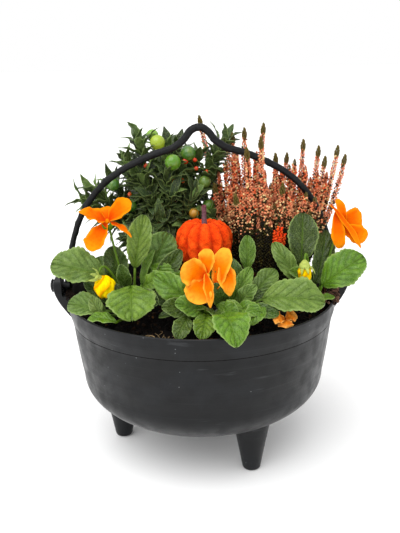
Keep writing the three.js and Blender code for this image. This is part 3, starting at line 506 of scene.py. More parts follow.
# %% The petal finish
def petal_finish(name, throat, middle, edge, crumple):
    """Colour from the throat to the edge, with fine lines that fan out from the base."""
    tree = Tree(name, 0.8, Specular_IOR_Level=0.04)
    along, across = tree.place()
    off = tree.math("ABSOLUTE", tree.math("MULTIPLY_ADD", across, 2.0, -1.0))
    base = tree.blend(tree.between(along, 0.05, 0.5), throat, middle)
    far = tree.math("MAXIMUM", tree.between(along, 0.5, 1.0, 0, 0.8), tree.between(off, 0.5, 1.0, 0, 0.9))
    base = tree.blend(far, base, edge)
    wander = tree.math("MULTIPLY_ADD", tree.noise(5 * MM), 0.25, tree.math("MULTIPLY", across, 17.0))
    line = tree.math("ABSOLUTE", tree.math("SUBTRACT", tree.math("FRACT", wander), 0.5))
    line = tree.math("MULTIPLY", tree.between(line, 0.34, 0.5), tree.between(along, 0.95, 0.3, 0.1, 0.5))
    base = tree.blend(line, base, throat)
    base = tree.blend(tree.between(tree.noise(3 * MM), 0.4, 0.75, 0, 0.25), base, throat)
    base = tree.blend(1.0, base, tree.tint(), "MULTIPLY")
    tree.bump(tree.noise(2.5 * MM, 2), crumple)
    tree.bump(line, -0.08 * MM)
    return tree.colour(base)


PETAL = petal_finish("petal", paint("D04000"), paint("EA6800"), paint("F2960A"), 0.25 * MM)
LIGHT_PETAL = petal_finish("petal_light", paint("DE4E00"), paint("EE7600"), paint("F8B438"), 0.3 * MM)
WITHERED = petal_finish("petal_withered", paint("A85410"), paint("E08420"), paint("F6B45C"), 0.4 * MM)
BUD_SKIN = petal_finish("bud_skin", paint("E69400"), paint("F4CE00"), paint("F8E400"), 0.4 * MM)


# %% The finish of stems, heather buds and bark
def plain_finish(name, roughness, mottle_size, dark, grain_depth=0.1 * MM):
    """The points' own colour, mottled and lightly dented."""
    tree = Tree(name, roughness, Specular_IOR_Level=0.2)
    mottle = tree.noise(mottle_size, 4)
    tree.bump(mottle, grain_depth)
    return tree.colour(tree.blend(tree.between(mottle, 0.35, 0.7), tree.tint(), (dark,) * 3, "MULTIPLY"))


STEM = plain_finish("stem", 0.5, 2 * MM, 0.75)
HEATHER_BUDS = plain_finish("heather_buds", 0.6, 1.2 * MM, 0.75)
BARK = plain_finish("bark", 0.9, 1.5 * MM, 0.5, 0.3 * MM)


# %% The pot's black plastic
def plastic_finish():
    """Satin black with a fine moulded grain, faint turned lines, scratches and a few pale specks."""
    tree = Tree("black_plastic", 0.4, Specular_IOR_Level=0.26, Sheen_Weight=0.12, Sheen_Roughness=0.3)
    patch = tree.noise(30 * MM, 5)
    turned_lines = tree.noise(3 * MM, 2, (0.02, 0.02, 1))
    base = tree.blend(tree.between(patch, 0.42, 0.72), paint("08090B"), paint("111316"))
    base = tree.blend(tree.between(turned_lines, 0.60, 0.75, 0, 0.2), base, paint("303233"))
    speck = tree.math("MULTIPLY", tree.between(tree.cells(6 * MM), 0.09, 0.05),
                      tree.between(tree.noise(30 * MM), 0.54, 0.6, 0, 0.5))
    base = tree.blend(speck, base, paint("8E9294"))
    scratch = tree.between(tree.noise(12 * MM, 6, (0.35, 0.35, 3)), 0.64, 0.72, 0, 0.3)
    base = tree.blend(scratch, base, paint("404244"))
    tree.rough(tree.between(tree.noise(14 * MM, 5), 0.3, 0.7, 0.32, 0.55))
    tree.bump(tree.noise(0.8 * MM, 2), 0.06 * MM)
    tree.bump(turned_lines, 0.12 * MM)
    return tree.colour(base)


# %% The bail's plastic and the soil
def bail_finish():
    """Rougher than the pot, with small pits."""
    tree = Tree("bail_plastic", 0.5, Specular_IOR_Level=0.2)
    pits = tree.noise(2.2 * MM, 4)
    base = tree.blend(tree.between(pits, 0.35, 0.7), paint("0B0C0D"), paint("17181A"))
    tree.bump(pits, 0.35 * MM)
    return tree.colour(base)


def soil_finish():
    """Near-black peat with brown crumbs."""
    tree = Tree("peat", 0.95, Specular_IOR_Level=0.1)
    crumb = tree.noise(2.5 * MM, 5)
    base = tree.blend(tree.between(crumb, 0.5, 0.8, 0, 0.45), tree.tint(), paint("1E1611"))
    tree.bump(crumb, 0.8 * MM)
    return tree.colour(base)


# %% Velvet and berry skin
def velvet_finish():
    """Orange pile with a fine nap and wide lighter patches, times the painted light that the points carry:
    painted shade along the threads and at the poles, and a painted highlight on the ribs' crests. A soft
    sheen lies over it."""
    tree = Tree("velvet", 0.9, Sheen_Weight=0.35, Sheen_Roughness=0.4, Specular_IOR_Level=0.1)
    tree.shader.inputs["Sheen Tint"].default_value = (1.0, 0.22, 0.04, 1)
    nap = tree.noise(0.8 * MM, 3)
    broad = tree.noise(7 * MM, 3)
    base = tree.blend(tree.between(nap, 0.3, 0.7), paint("D63004"), paint("F4500A"))
    base = tree.blend(tree.between(broad, 0.35, 0.75, 0, 0.35), base, paint("F46A1C"))
    # The points carry painted shade along the threads and a painted highlight on the crests.
    base = tree.blend(1.0, base, tree.tint(), "MULTIPLY")
    tree.bump(tree.cells(0.9 * MM), -0.2 * MM)
    tree.bump(nap, 0.2 * MM)
    return tree.colour(base)


def berry_finish():
    """Glossy skin, mottled from the points' own colour to a lighter one."""
    tree = Tree("berry_skin", 0.26, Coat_Weight=0.2, Coat_Roughness=0.12)
    base = tree.blend(tree.between(tree.noise(5 * MM, 3), 0.4, 0.7, 0, 0.25), tree.tint(), paint("AAB24C"))
    tree.bump(tree.noise(1.5 * MM, 2), 0.05 * MM)
    return tree.colour(base)


PLASTIC, BAIL_PLASTIC, PEAT = plastic_finish(), bail_finish(), soil_finish()
VELVET, BERRY_SKIN = velvet_finish(), berry_finish()
print("finishes:", len(bpy.data.materials))

# %% [markdown]
# ## The pot
#
# The bowl is one turned wall: a rounded bottom that follows a superellipse, a wall that opens slightly and
# a band under the rim. Three conical legs and two ears are moulded on, so they are joined to it by a
# boolean, which leaves one clean skin.

# %% Profiles of the bowl and the leg
BELLY = (114, 76)  # radius and height where the wall meets the rounded bottom
BOTTOM_HEIGHT, BAND_HEIGHT = 27, 124
WALL = 2.5
LEG_CIRCLE = 80
PIVOT_HEIGHT = 157
PIVOT_RISE = PIVOT_HEIGHT - RIM_HEIGHT
BORE_RADIUS = 3.6


def bottom_curve(radius, depth, steps):
    """The rounded bottom: radius times sin^(1/1.1), and down by depth times cos^(1/1.1)."""
    angle = np.linspace(0, np.pi / 2, steps)
    share = 2 / 2.2
    return np.stack([radius * np.sin(angle) ** share, BELLY[1] - depth * np.cos(angle) ** share], 1)


def wall_curve(inset, steps):
    """The wall from the belly to the band: its radius is read off straight lines between five heights."""
    height = np.linspace(BELLY[1], BAND_HEIGHT, steps)[1:]
    heights = [BELLY[1], 90, 104, 116, BAND_HEIGHT]
    radius = np.interp(height, heights, [BELLY[0], 116.3, 118.3, 119.8, 120.7])
    return np.stack([radius - inset, height], 1)


def bowl():
    """The outer profile up to the rim, and the inner one down again, turned about Z."""
    rim = [(121.0, 126.5), (121.5, 129), (122.2, 131.5), (122.9, 134), (123.6, 136.5), (124.1, 139),
           (124.8, 146), (124.9, 147.3), (124.4, 148), (123.4, 148.05), (122.6, 147.6), (122.3, 146.5)]
    inside = [(121.4, 134), (118.2, 128)]
    down = wall_curve(WALL, 8)[::-1][1:]
    depth = BELLY[1] - BOTTOM_HEIGHT
    floor = bottom_curve(BELLY[0] - WALL, depth - WALL, 18)[::-1]
    profile = np.concatenate([bottom_curve(BELLY[0], depth, 40), wall_curve(0, 16), rim, inside, down, floor])
    return turned(profile * MM, 144)


def leg(angle):
    """A cone that narrows to a rounded foot, on the legs' circle where the angle points."""
    profile = [(0, 0), (5, 0), (6.6, 0.25), (7.7, 1.0), (8.3, 2.2), (8.6, 4), (10.4, 14), (12.6, 26),
               (15, 38), (17, 48), (0, 48)]
    shape = turned(np.array(profile) * MM, 40)
    shape["points"] += LEG_CIRCLE * np.array([np.cos(angle), np.sin(angle), 0]) * MM
    return shape


def combine(piece, tool, operation):
    """Joins the tool to the piece or cuts it off, and removes the tool."""
    modifier = piece.modifiers.new("shape", "BOOLEAN")
    modifier.operation, modifier.solver, modifier.object = operation, "EXACT", tool
    made = bpy.data.meshes.new_from_object(piece.evaluated_get(bpy.context.evaluated_depsgraph_get()))
    piece.modifiers.clear()
    piece.data = made
    bpy.data.objects.remove(tool)
    return piece


# %% The ears
EAR_REACH = 10  # from the middle of an ear to its front or back edge
EAR_ROUND = 158  # the height from which the ear's top is a half circle


def ear(side):
    """Slices from front to back: each is the ear's side view, cut off where its round top comes down."""
    view = np.array([(116, 127), (120.6, 127.4), (124, 130.5), (128, 135), (131.6, 139.6), (134.6, 144.6),
                     (136.9, 149.8), (138.3, 155), (138.4, 160), (137.2, 164), (135.2, 166.8), (133.2, 167.6),
                     (131.6, 167), (131, 165), (131, 151), (130.6, 149.6), (129.2, 148.8), (122, 148.6),
                     (117.6, 148.3), (116, 147)])
    across = EAR_REACH * np.sin(np.linspace(-np.pi / 2, np.pi / 2, 25))
    inset = 0.9 * (1 - np.sqrt((1 - (across / EAR_REACH) ** 8).clip(0)))
    top = EAR_ROUND + np.sqrt((EAR_REACH ** 2 - across ** 2).clip(0.04))
    x = mix(view[None, :, 0], 127.0, inset[:, None] * 0.22)
    z = np.minimum(view[None, :, 1], top[:, None])
    y = np.broadcast_to(across[:, None], x.shape)
    points = np.stack([side * x, side * y, z], -1) * MM
    return capped(points, points[[0, -1]].mean(1))


# %% The pot from its parts
def recalculated(piece):
    """Merges doubled points and turns every face outwards."""
    work = bmesh.new()
    work.from_mesh(piece.data)
    bmesh.ops.remove_doubles(work, verts=work.verts, dist=0.002 * MM)
    bmesh.ops.recalc_face_normals(work, faces=work.faces)
    work.to_mesh(piece.data)
    work.free()
    return piece


pot = to_object("cauldron", [bowl()])
for angle in np.radians([180, -60, 60]):
    combine(pot, to_object("leg", [leg(angle)]), "UNION")
bore_line = np.array([[-145, 0, PIVOT_HEIGHT], [-126, 0, PIVOT_HEIGHT]]) * MM
for side in (-1, 1):
    lug = recalculated(to_object("lug", [ear(side)]))
    line = bore_line * np.array([-side, 1, 1])
    combine(lug, recalculated(to_object("bore", [tube(line, BORE_RADIUS * MM, 32)])), "DIFFERENCE")
    combine(pot, lug, "UNION")
pot.data.shade_smooth()
pot.data.set_sharp_from_angle(angle=np.radians(32))
finish_piece(pot, PLASTIC, "pot")

# %% [markdown]
# ## The bail
#
# The bail is a bar bent to an arch with a pointed peak for the hand. A ring carried along a smooth curve
# gives it, and its surface is a little uneven, as a bar moulded from rough plastic is. Each end turns into
# a peg with a button head that goes through the ear.

# %% The bail's middle line
# The right half of the bar's middle line: distance from the middle and height above the rim.
BAIL_LINE = np.array([
    [0, 152], [3.5, 151.5], [8.5, 148], [13, 142], [19, 137], [25, 133.5], [40, 129], [57, 122], [77, 111],
    [94, 96], [108, 76], [117, 53], [122, 32], [126, 9],
], float)
BAIL_REACH, BAIL_RISE = 126, 143  # half the span, and the peak's height above the pivots
BAIL_SIDES = 22
PEG_START = 123.5
NUBS = [(-104.5, 84), (-84, 107)]


def smooth_line(knots, per_span):
    """A centripetal Catmull-Rom curve: each span is a blend of blends of the four knots round it."""
    ends = [2 * knots[0] - knots[1], 2 * knots[-1] - knots[-2]]
    p = np.concatenate([ends[:1], knots, ends[1:]])
    step = np.linalg.norm(np.diff(p, axis=0), axis=1) ** 0.5
    t = np.concatenate([[0], np.cumsum(step)])
    found = []
    for i in range(1, len(p) - 2):
        s = np.linspace(t[i], t[i + 1], per_span, endpoint=False)[:, None]
        a = [((t[j + 1] - s) * p[j] + (s - t[j]) * p[j + 1]) / (t[j + 1] - t[j]) for j in (i - 1, i, i + 1)]
        b = [((t[i + 1] - s) * a[0] + (s - t[i - 1]) * a[1]) / (t[i + 1] - t[i - 1]),
             ((t[i + 2] - s) * a[1] + (s - t[i]) * a[2]) / (t[i + 2] - t[i])]
        found.append(((t[i + 1] - s) * b[0] + (s - t[i]) * b[1]) / (t[i + 1] - t[i]))
    return np.concatenate([*found, knots[-1:]])


# %% The bar and its pegs
def bail_bar():
    """A tube along the arch, thicker towards the peak, with small dents and two nubs on the left."""
    half = np.stack([BAIL_LINE[:, 0], 0 * BAIL_LINE[:, 0], BAIL_LINE[:, 1]], 1)
    line = smooth_line(np.concatenate([half[:0:-1] * [-1, 1, 1], half]), 14)
    radius = 2.5 + 0.9 * ((line[:, 2] - PIVOT_RISE).clip(0) / BAIL_RISE) ** 1.5
    bar = tube(at(line), radius * MM, BAIL_SIDES, reference=np.array([0.0, 1, 0]))
    rings = len(line) * BAIL_SIDES
    points = bar["points"][:rings]
    out = unit(points - np.repeat(at(line), BAIL_SIDES, axis=0))
    bumps = 0.10 * ripples(points / MM, 7, 3) + 0.06 * ripples(points / MM, 3, 4)
    for x, z in NUBS:
        spot = at([x, -1.5, z])
        bumps += 1.1 * np.exp(-(np.linalg.norm(points - spot, axis=1) / (3.2 * MM)) ** 4)
    bar["points"][:rings] += out * bumps[:, None] * MM
    return bar


def peg(side):
    """A pin along X that ends in a button with rounded edges, turned from its radii and lengths."""
    profile = np.array([(0, 0), (3.2, 0), (3.2, 15.5), (5.9, 15.5), (6.4, 15.7), (6.4, 16.1), (5.9, 16.6),
                        (4.6, 17.3), (3.0, 17.8), (1.2, 18.0), (0, 18.0)])
    shape = turned(profile * MM, 32)
    x, y, z = shape["points"].T
    shape["points"] = np.stack([side * (z + PEG_START * MM), -side * y, PIVOT_HEIGHT * MM + x], 1)
    return shape


bail = recalculated(to_object("bail_bar", [bail_bar()]))
for side in (-1, 1):
    combine(bail, recalculated(to_object("peg", [peg(side)])), "UNION")
bail.data.shade_smooth()
bail.data.set_sharp_from_angle(angle=np.radians(40))
finish_piece(bail, BAIL_PLASTIC, "bail", "bail")

# %% [markdown]
# ## The soil
#
# Potting soil is dark, lumpy and full of fibres. A disc of points is lifted by the same wide waves as the
# solid, by finer ones and by a few heaps. More than a thousand crumbs of peat and bark and hundreds of root
# fibres are strewn on it, two clods lie at the left ear, and some soil has spilled onto the rim.

# %% The soil's surface
# Each heap: x, y, height and width.
HEAPS = [(-112, -4, 20, 10), (-103, -22, 10, 12), (-90, 34, 42, 13), (111, -24, 20, 9), (110, 6, 12, 10)]
SOIL_RADIUS, SOIL_FLOOR = 121.4, -20
WAVES_END = 121.5  # the radius at which the wide waves have faded out
SOIL_BLACK, CRUMB_BLACK, BARK_TAN = paint("0D0B0A"), paint("120E0C"), paint("6A4A2A")
CRUMBS, SPILLED = 1500, 260  # how many lumps lie on the soil, and at each place on the rim
ROOT_RADIUS, ROOT_LIMIT, SPILL_LIMIT = 0.22, 116, 127


def soil_height(x, y):
    """Height above the rim of the soil at x, y in millimetres."""
    share = np.hypot(x, y) / WAVES_END
    heap = sum(high * np.exp(-((x - mx) ** 2 + (y - my) ** 2) / wide ** 2) for mx, my, high, wide in HEAPS)
    lumps = (1.3 * np.sin(0.11 * x + 0.6) * np.sin(0.13 * y + 0.4) + 0.8 * np.sin(0.29 * x - 0.17 * y)
             + 0.6 * np.sin(0.23 * x + 0.31 * y + 2))
    return -12 + (1 - share ** 2) * (4 + lumps) + heap


def soil_body():
    """The top is a grid of rings whose height follows the soil, and the last rings close it below."""
    shares = np.concatenate([np.linspace(0, 1, 74)[1:], [1.0]])
    angle = 2 * np.pi * np.arange(220) / 220
    x = SOIL_RADIUS * shares[:, None] * np.cos(angle)
    y = SOIL_RADIUS * shares[:, None] * np.sin(angle)
    flat = np.stack([x, y], -1)
    z = soil_height(x, y) + 0.9 * ripples(flat, 9, 11) + 0.5 * ripples(flat, 3.5, 12)
    z[-1] = SOIL_FLOOR
    poles = at([[0, 0, soil_height(0, 0)], [0, 0, SOIL_FLOOR]])
    return capped(at(np.stack([x, y, z], -1)), poles, tint=SOIL_BLACK, inward=True)


# %% Crumbs and roots
def strewn(count, seed, reach=119, lift=0):
    """The random draws, and places on the soil in millimetres with the height above the rim."""
    chance = np.random.default_rng(seed)
    out = reach * np.sqrt(chance.uniform(0, 1, count))
    turn = chance.uniform(0, 2 * np.pi, count)
    x, y = out * np.cos(turn), out * np.sin(turn)
    return chance, np.stack([x, y, soil_height(x, y) + lift], 1)


def crumbs():
    """Small lumps of peat and a few tan bits of bark, half sunk in the surface."""
    chance, places = strewn(CRUMBS, 21, lift=0.4)
    size = chance.uniform(0.6, 2.2, (CRUMBS, 1)) * chance.uniform(0.6, 1.3, (CRUMBS, 3))
    tan = chance.uniform(0, 1, (CRUMBS, 1)) ** 9
    tints = mix(CRUMB_BLACK * chance.uniform(0.5, 1.8, (CRUMBS, 1)), BARK_TAN, tan)
    return scattered(grain(5, 2), at(places), chance.normal(size=(CRUMBS, 3)), chance.uniform(0, 6, CRUMBS),
                     size * MM, tints)


def fibres(count, seed, spread, colour, middle=None):
    """Thin roots that lie across the soil in shallow bows, all over it or spread about the middle."""
    chance, places = strewn(count, seed, lift=0.8)
    if middle is not None:
        places[:, :2] = np.array(middle) + chance.normal(size=(count, 2)) * spread
        places[:, 2] = soil_height(places[:, 0], places[:, 1]) + chance.uniform(0.5, 4, count)
    made = []
    for place in places:
        way = unit(chance.normal(size=3) * [1, 1, 0.15])
        end = place + way * chance.uniform(6, 16)
        pull = (place + end) / 2 + chance.normal(size=3) * [4, 4, 1] + [0, 0, 2.5]
        for spot in (place, pull, end):
            spot[:2] *= min(1, ROOT_LIMIT / np.hypot(*spot[:2]))
        end[2] = soil_height(end[0], end[1]) + 0.4
        made.append(bent_tube(place, pull, end, ROOT_RADIUS, 3, colour * chance.uniform(0.5, 1.4)))
    return made


# %% Clods, and soil on the rim
def clod(middle, radii, seed):
    """A ball of peat and roots whose radius goes in and out by random waves of two sizes."""
    ball = grain(40, 26)
    ways = unit(ball["points"])
    size = 1 + 0.10 * ripples(ways, 0.9, seed) + 0.06 * ripples(ways, 0.3, seed + 1)
    ball["points"] = at(middle) + ball["points"] * size[:, None] * np.array(radii) * MM
    ball["tint"] = np.broadcast_to(paint("0B0908"), ball["points"].shape)
    return ball


def spill(seed, heading, spread, reach, colour):
    """Lumps and roots that have come over the rim where the heading points, and lie on it."""
    chance = np.random.default_rng(seed)
    turn = chance.normal(heading, spread, SPILLED)
    out = chance.uniform(*reach, SPILLED)
    places = np.stack([out * np.cos(turn), out * np.sin(turn), chance.uniform(-1.5, 3.2, SPILLED)], 1)
    tints = mix(paint("16100E"), paint(colour), chance.uniform(0, 1, (SPILLED, 1)) ** 1.6)
    lumps = scattered(grain(5, 2), at(places), chance.normal(size=(SPILLED, 3)),
                      chance.uniform(0, 6, SPILLED), chance.uniform(0.7, 2.4, (SPILLED, 3)) * MM, tints)
    roots = []
    for place in places[:36]:
        end = place + chance.normal(size=3) * [2.5, 6, 2.5]
        end[:2] *= min(1, SPILL_LIMIT / np.hypot(*end[:2]))
        roots.append(bent_tube(place, (place + end) / 2 + [0, 0, 3], end, ROOT_RADIUS, 3,
                               paint(colour) * chance.uniform(0.5, 1.6)))
    return [lumps, *roots]


# %% The bed of soil
soil = to_object("peat_bed", [soil_body(), crumbs(), *fibres(120, 31, 0, paint("2E2016")),
                              *fibres(80, 32, [8, 4], paint("9C8460"), (-44, -103)),
                              *fibres(50, 33, [4, 8], paint("5A3426"), (111, -26)),
                              clod((-108.5, -3, 10), (12.5, 15, 18), 51),
                              clod((-122, 12.5, 7), (8.5, 5.5, 12), 57),
                              *spill(41, -0.2, 0.08, (114, 127), "8A6654"),
                              *spill(43, np.pi, 0.05, (115, 126.5), "241A14")])
finish_piece(soil, PEAT, "soil")

# %% [markdown]
# ## The pansy plants
#
# A pansy carries spoon-shaped leaves with scalloped edges on short stalks, and its flowers hang on thin
# hooked stems. The leaves stand where the solids have them, to within a few millimetres, and each gets
# veins, teeth and its own green.

# %% Where the leaves stand
FRONT, FLAT, SLANT = np.array([0, -1, 0.35]), np.array([0, -0.35, 1]), np.array([0, -0.8, 0.7])
FRESH, LIME, GREY, DEEP = paint("5C7A24"), paint("587C12"), paint("607A3C"), paint("384E14")
NIGHT = paint("2A3E08")
STALK_GREEN = mix(FRESH, LIME, 0.5)
CROWNS = {"pansy_left": (-62, -48), "pansy_center": (14, -68), "pansy_right": (100, -38)}
CROWN_LEVEL = -8
# Each leaf: base, tip (x, y, height above the rim), width, the way it faces, arch, its green.
PANSY_LEAVES = {
    "pansy_left": [
        [(-85, -52, 32), (-131, -48, 44), 33, SLANT, 0.10, GREY],
        [(-59, -48, 38), (-50, -42, 83), 22, FRONT, 0.05, FRESH],
        [(-72, -38, 17), (-80, -30, 53), 23, FRONT, 0.06, DEEP],
        [(-46, -24, 28), (-29, -15, 60), 30, FRONT, 0.08, GREY],
        [(-46, -34, 35), (-18, -44, 20), 18, SLANT, 0.10, FRESH],
        [(-62, -66, 26), (-60, -96, 8), 42, np.array([0, -0.8, 1]), 0.10, FRESH],
        [(-84, -70, 7), (-118, -57, 10), 22, SLANT, 0.08, GREY],
        [(-74, -88, 3), (-98, -80, 5), 14, FLAT, 0.08, LIME],
        [(-88, -74, 4), (-95, -68, 19), 12, FRONT, 0.04, GREY],
        [(-54, -44, 21), (-43, -34, 50), 9, np.array([-0.6, -0.8, 0.2]), 0.06, FRESH],
        [(-76, -56, 8), (-104, -46, 27), 13, FRONT, 0.06, DEEP],
    ],
    "pansy_center": [
        [(48, -76, 15), (100, -84, 15), 33, np.array([0, -0.75, 0.75]), 0.10, GREY],
        [(-7, -70, 9), (-42, -62, 35), 24, FRONT, 0.08, FRESH],
        [(-14, -66, 2), (-46, -60, 17), 14, SLANT, 0.06, DEEP],
        [(-9, -78, 3), (-39, -80, 5), 12, FLAT, 0.08, DEEP],
        [(-15, -90, 6), (-24, -110, -4), 16, SLANT, 0.08, DEEP],
        [(1, -89, 7), (-4, -112, -4), 20, SLANT, 0.10, LIME],
        [(14, -97, 9), (22, -129, -4), 31, np.array([0.1, -0.7, 1]), 0.24, LIME],
        [(10, -84, 14), (31, -92, 8), 15, SLANT, 0.10, FRESH],
        [(2, -80, 10), (-17, -84, 9), 9, FLAT, 0.10, FRESH],
        [(48, -82, 12), (34, -100, 3), 17, SLANT, 0.10, LIME],
        [(30, -62, 9), (24, -52, 45), 17, FRONT, 0.05, DEEP],
        [(38, -48, 33), (39, -44, 63), 15, FRONT, 0.05, FRESH],
        [(42, -60, 13), (63, -52, 34), 19, SLANT, 0.08, GREY],
        [(34, -66, 7), (52, -62, 18), 12, SLANT, 0.08, DEEP],
    ],
    "pansy_right": [
        [(87, -38, 35), (90, -27, 78), 28, FRONT, 0.05, NIGHT],
        [(101, -34, 14), (113, -18, 60), 23, np.array([0.3, -1, 0.2]), 0.06, NIGHT],
        [(105, -46, 16), (141, -46, 42), 33, SLANT, 0.10, LIME],
        [(84, -44, 18), (63, -36, 54), 17, FRONT, 0.06, GREY],
        [(98, -54, 4), (115, -52, 8), 9, FLAT, 0.08, LIME],
    ],
}

# %% Small leaves between the others, which the solids leave out
PANSY_MORE = {
    "pansy_left": [
        [(-58, -60, 14), (-40, -82, 17), 18, SLANT, 0.10, DEEP],
        [(-64, -56, 16), (-92, -60, 22), 16, SLANT, 0.08, DEEP],
        [(-52, -46, 20), (-34, -60, 32), 18, SLANT, 0.08, FRESH],
        [(-66, -50, 20), (-70, -62, 44), 13, FRONT, 0.06, DEEP],
        [(-50, -40, 12), (-24, -30, 34), 16, SLANT, 0.06, DEEP],
        [(-44, -36, 14), (-19, -35, 49), 18, FRONT, 0.06, DEEP],
        [(-82, -30, 10), (-96, 4, 36), 20, FRONT, 0.06, DEEP],
    ],
    "pansy_center": [
        [(12, -84, 8), (25, -101, 13), 18, SLANT, 0.10, FRESH],
        [(24, -82, 9), (45, -95, 11), 16, SLANT, 0.10, LIME],
        [(28, -74, 10), (42, -81, 29), 15, SLANT, 0.08, GREY],
        [(-2, -80, 7), (-24, -93, 20), 20, SLANT, 0.08, FRESH],
        [(-10, -74, 5), (-35, -88, 15), 19, SLANT, 0.08, DEEP],
        [(8, -78, 6), (8, -99, 10), 15, SLANT, 0.10, DEEP],
        [(22, -70, 9), (40, -64, 40), 15, FRONT, 0.06, FRESH],
        [(36, -80, 6), (60, -92, 8), 15, SLANT, 0.08, DEEP],
        [(16, -72, 8), (9, -87, 33), 15, FRONT, 0.06, DEEP],
    ],
    "pansy_right": [
        [(98, -46, 13), (82, -66, 17), 15, SLANT, 0.10, DEEP],
        [(104, -42, 14), (126, -37, 32), 16, SLANT, 0.08, DEEP],
        [(95, -40, 18), (76, -50, 32), 14, SLANT, 0.08, FRESH],
        [(92, -34, 16), (78, -26, 40), 13, FRONT, 0.06, DEEP],
    ],
}


# %% A pansy's leaf
def pansy_leaf(crown, base, tip, width, faces, arch, green, seed):
    """The blade, its stalk from the crown, and a midrib under it that thins to the tip."""
    chance = np.random.default_rng(seed)
    base, tip = at(base), at(tip)
    length = np.linalg.norm(tip - base)
    green = green * chance.uniform(0.78, 1.18) * chance.uniform(0.90, 1.10, 3)
    sheet = blade(base, tip, faces, width * MM, arch=arch, cup=0.10, fold=chance.uniform(0.05, 0.3),
                  wave=0.14, waves=chance.uniform(1.5, 2.5), teeth=max(5, round(length / MM / 3.4)),
                  tooth=0.09, pucker=0.06 * width * MM, curl=0.07, ragged=0.02, rows=65, tint=green,
                  jitter=chance.uniform(0, 6))
    start = mix(crown, np.array([base[0], base[1], crown[2]]), 0.04)
    pull = mix(start, base, 0.45) + [0, 0, 3 * MM]
    stalk_line = bow(start, pull, base, np.linspace(0, 1, 9))
    along = (tip - base) / length
    normal = unit(faces - along * (faces @ along))
    t = np.linspace(0, 0.9, 12)[:, None]
    rise = arch * length * 4 * t * (1 - t) - 0.7 * MM - 0.03 * length * t ** 4
    rib = base + along * length * t + normal * rise
    stalk = tube(stalk_line, 1.25 * MM * np.linspace(1.1, 0.85, 9), 8, mix(green, LIME, 0.5))
    vein = tube(rib, 1.0 * MM * np.linspace(1, 0.15, 12), 6, mix(green, LIME, 0.5))
    return [sheet], [stalk, vein]


# %% Where the blooms and buds hang
# Each petal: tip, width, the way it faces where that isn't the bloom's own, where it starts, its outline.
BLOOMS = {
    "pansy_left": {
        "middle": (-81, -41, 78), "faces": (-0.25, 0.25, 1), "pull": (-78, -40, 58), "finish": PETAL,
        "petals": [((-61, -44, 96), 17, (0.35, -0.55, 0.75)),
                   ((-104, -46, 89), 19, (-0.25, -0.4, 0.9), None, "lance"),
                   ((-97, -53, 56), 20, (-0.5, -0.85, 0.2)),
                   ((-60, -52, 67), 9, (0.3, -0.2, 0.9), None, "lance"),
                   ((-88, -26, 87), 18, None)],
    },
    "pansy_center": {
        "middle": (2, -84, 40), "faces": (-0.25, -0.95, 0.1), "pull": (14, -66, 42), "finish": LIGHT_PETAL,
        "petals": [((2, -82, 62), 14, None), ((-18.5, -91, 49), 24, None), ((-10.5, -96, 21), 23, None),
                   ((18, -77, 61), 17, (-0.35, -0.9, 0.2), (9.5, -84, 28)),
                   ((21, -86, 22), 16, (0.2, -0.95, 0), (15, -80, 50), "lance"),
                   ((4.5, -99, 17), 10, (0.5, -0.8, 0), (0.5, -88, 43), "lance")],
    },
    "pansy_right": {
        "middle": (128.5, -28, 67), "faces": (0.75, -0.35, 0.35), "pull": (116, -26, 44), "finish": PETAL,
        "petals": [((121, -23, 89), 8, (0.2, -0.95, 0)),
                   ((121.5, -38, 47), 12.5, (-0.2, -1, 0), (117.5, -34, 80)),
                   ((145, -20, 70), 22, (0.05, -1, 0.1), (123, -26, 69)),
                   ((147, -30, 53), 17, (0.05, -1, 0.1), (124, -30, 66)),
                   ((112, -40, 87), 4, None, None, "lance"),
                   ((142, -38, 48), 7, (0.6, -0.7, 0.3), (112, -38, 87))],
    },
}
# Each bud: its middle and half sizes, the point that its stem's hook is drawn towards, the width (as a share
# of the bud's) and height of its hood, the hood's place, the way its sepals point and how far they reach.
BUDS = {
    "pansy_left": {"middle": (-84, -66, 27), "radii": (9, 8, 10), "hook": (-84, -58, 62), "hood": (0.36, 4),
                   "top": (-4.5, -1, 7.5), "sepals": (-0.7, -0.5, 0.3), "reach": 8},
    "pansy_right": {"middle": (87, -57, 31), "radii": (6, 6, 7.5), "hook": (89, -50, 64), "hood": (0.85, 8),
                    "top": (0, 0, 4.5), "sepals": (0.15, -0.1, -1), "reach": 11},
}
PALE = paint("AEBC58")


# %% Flower stems, cups and hoods
def sepals(middle, way, length, width, lean, count, tint, seed):
    """A star of narrow green blades round the way, each leaning out from it."""
    chance = np.random.default_rng(seed)
    way = unit(np.asarray(way, float))
    side = unit(np.cross(way, [0.3, 0.9, 0.2]))
    other = np.cross(way, side)
    made = []
    for k in range(count):
        angle = 2 * np.pi * k / count + chance.uniform(-0.2, 0.2)
        out = np.cos(angle) * side + np.sin(angle) * other
        reach = way * np.cos(lean) + out * np.sin(lean)
        tip = middle + reach * length * chance.uniform(0.85, 1.2)
        made.append(blade(middle + out * 0.8 * MM, tip, out, width, "lance", arch=0.12, cup=0.2, rows=10,
                          columns=5, tint=tint))
    return made


def bloom_stem(plant):
    """The stem hooks over and ends in a green cup behind the petals, with five sepals."""
    plan = BLOOMS[plant]
    way = unit(np.array(plan["faces"], float))
    end = at(plan["middle"]) - way * 2.9 * MM
    start = end - way * 5 * MM
    crown = at((*CROWNS[plant], CROWN_LEVEL))
    line = bow(crown, at(plan["pull"]), mix(start, end, 0.2), np.linspace(0, 1, 20))
    cup = tube(np.stack([mix(start, end, s) for s in (0, 0.25, 0.5, 0.75, 1)]),
               np.array([1.0, 1.9, 2.4, 2.1, 1.3]) * MM, 10, LIME)
    flared = sepals(start, way, 10 * MM, 3 * MM, 0.9, 5, LIME, 3)
    return [tube(line, 1.0 * MM, 8, STALK_GREEN), cup], flared


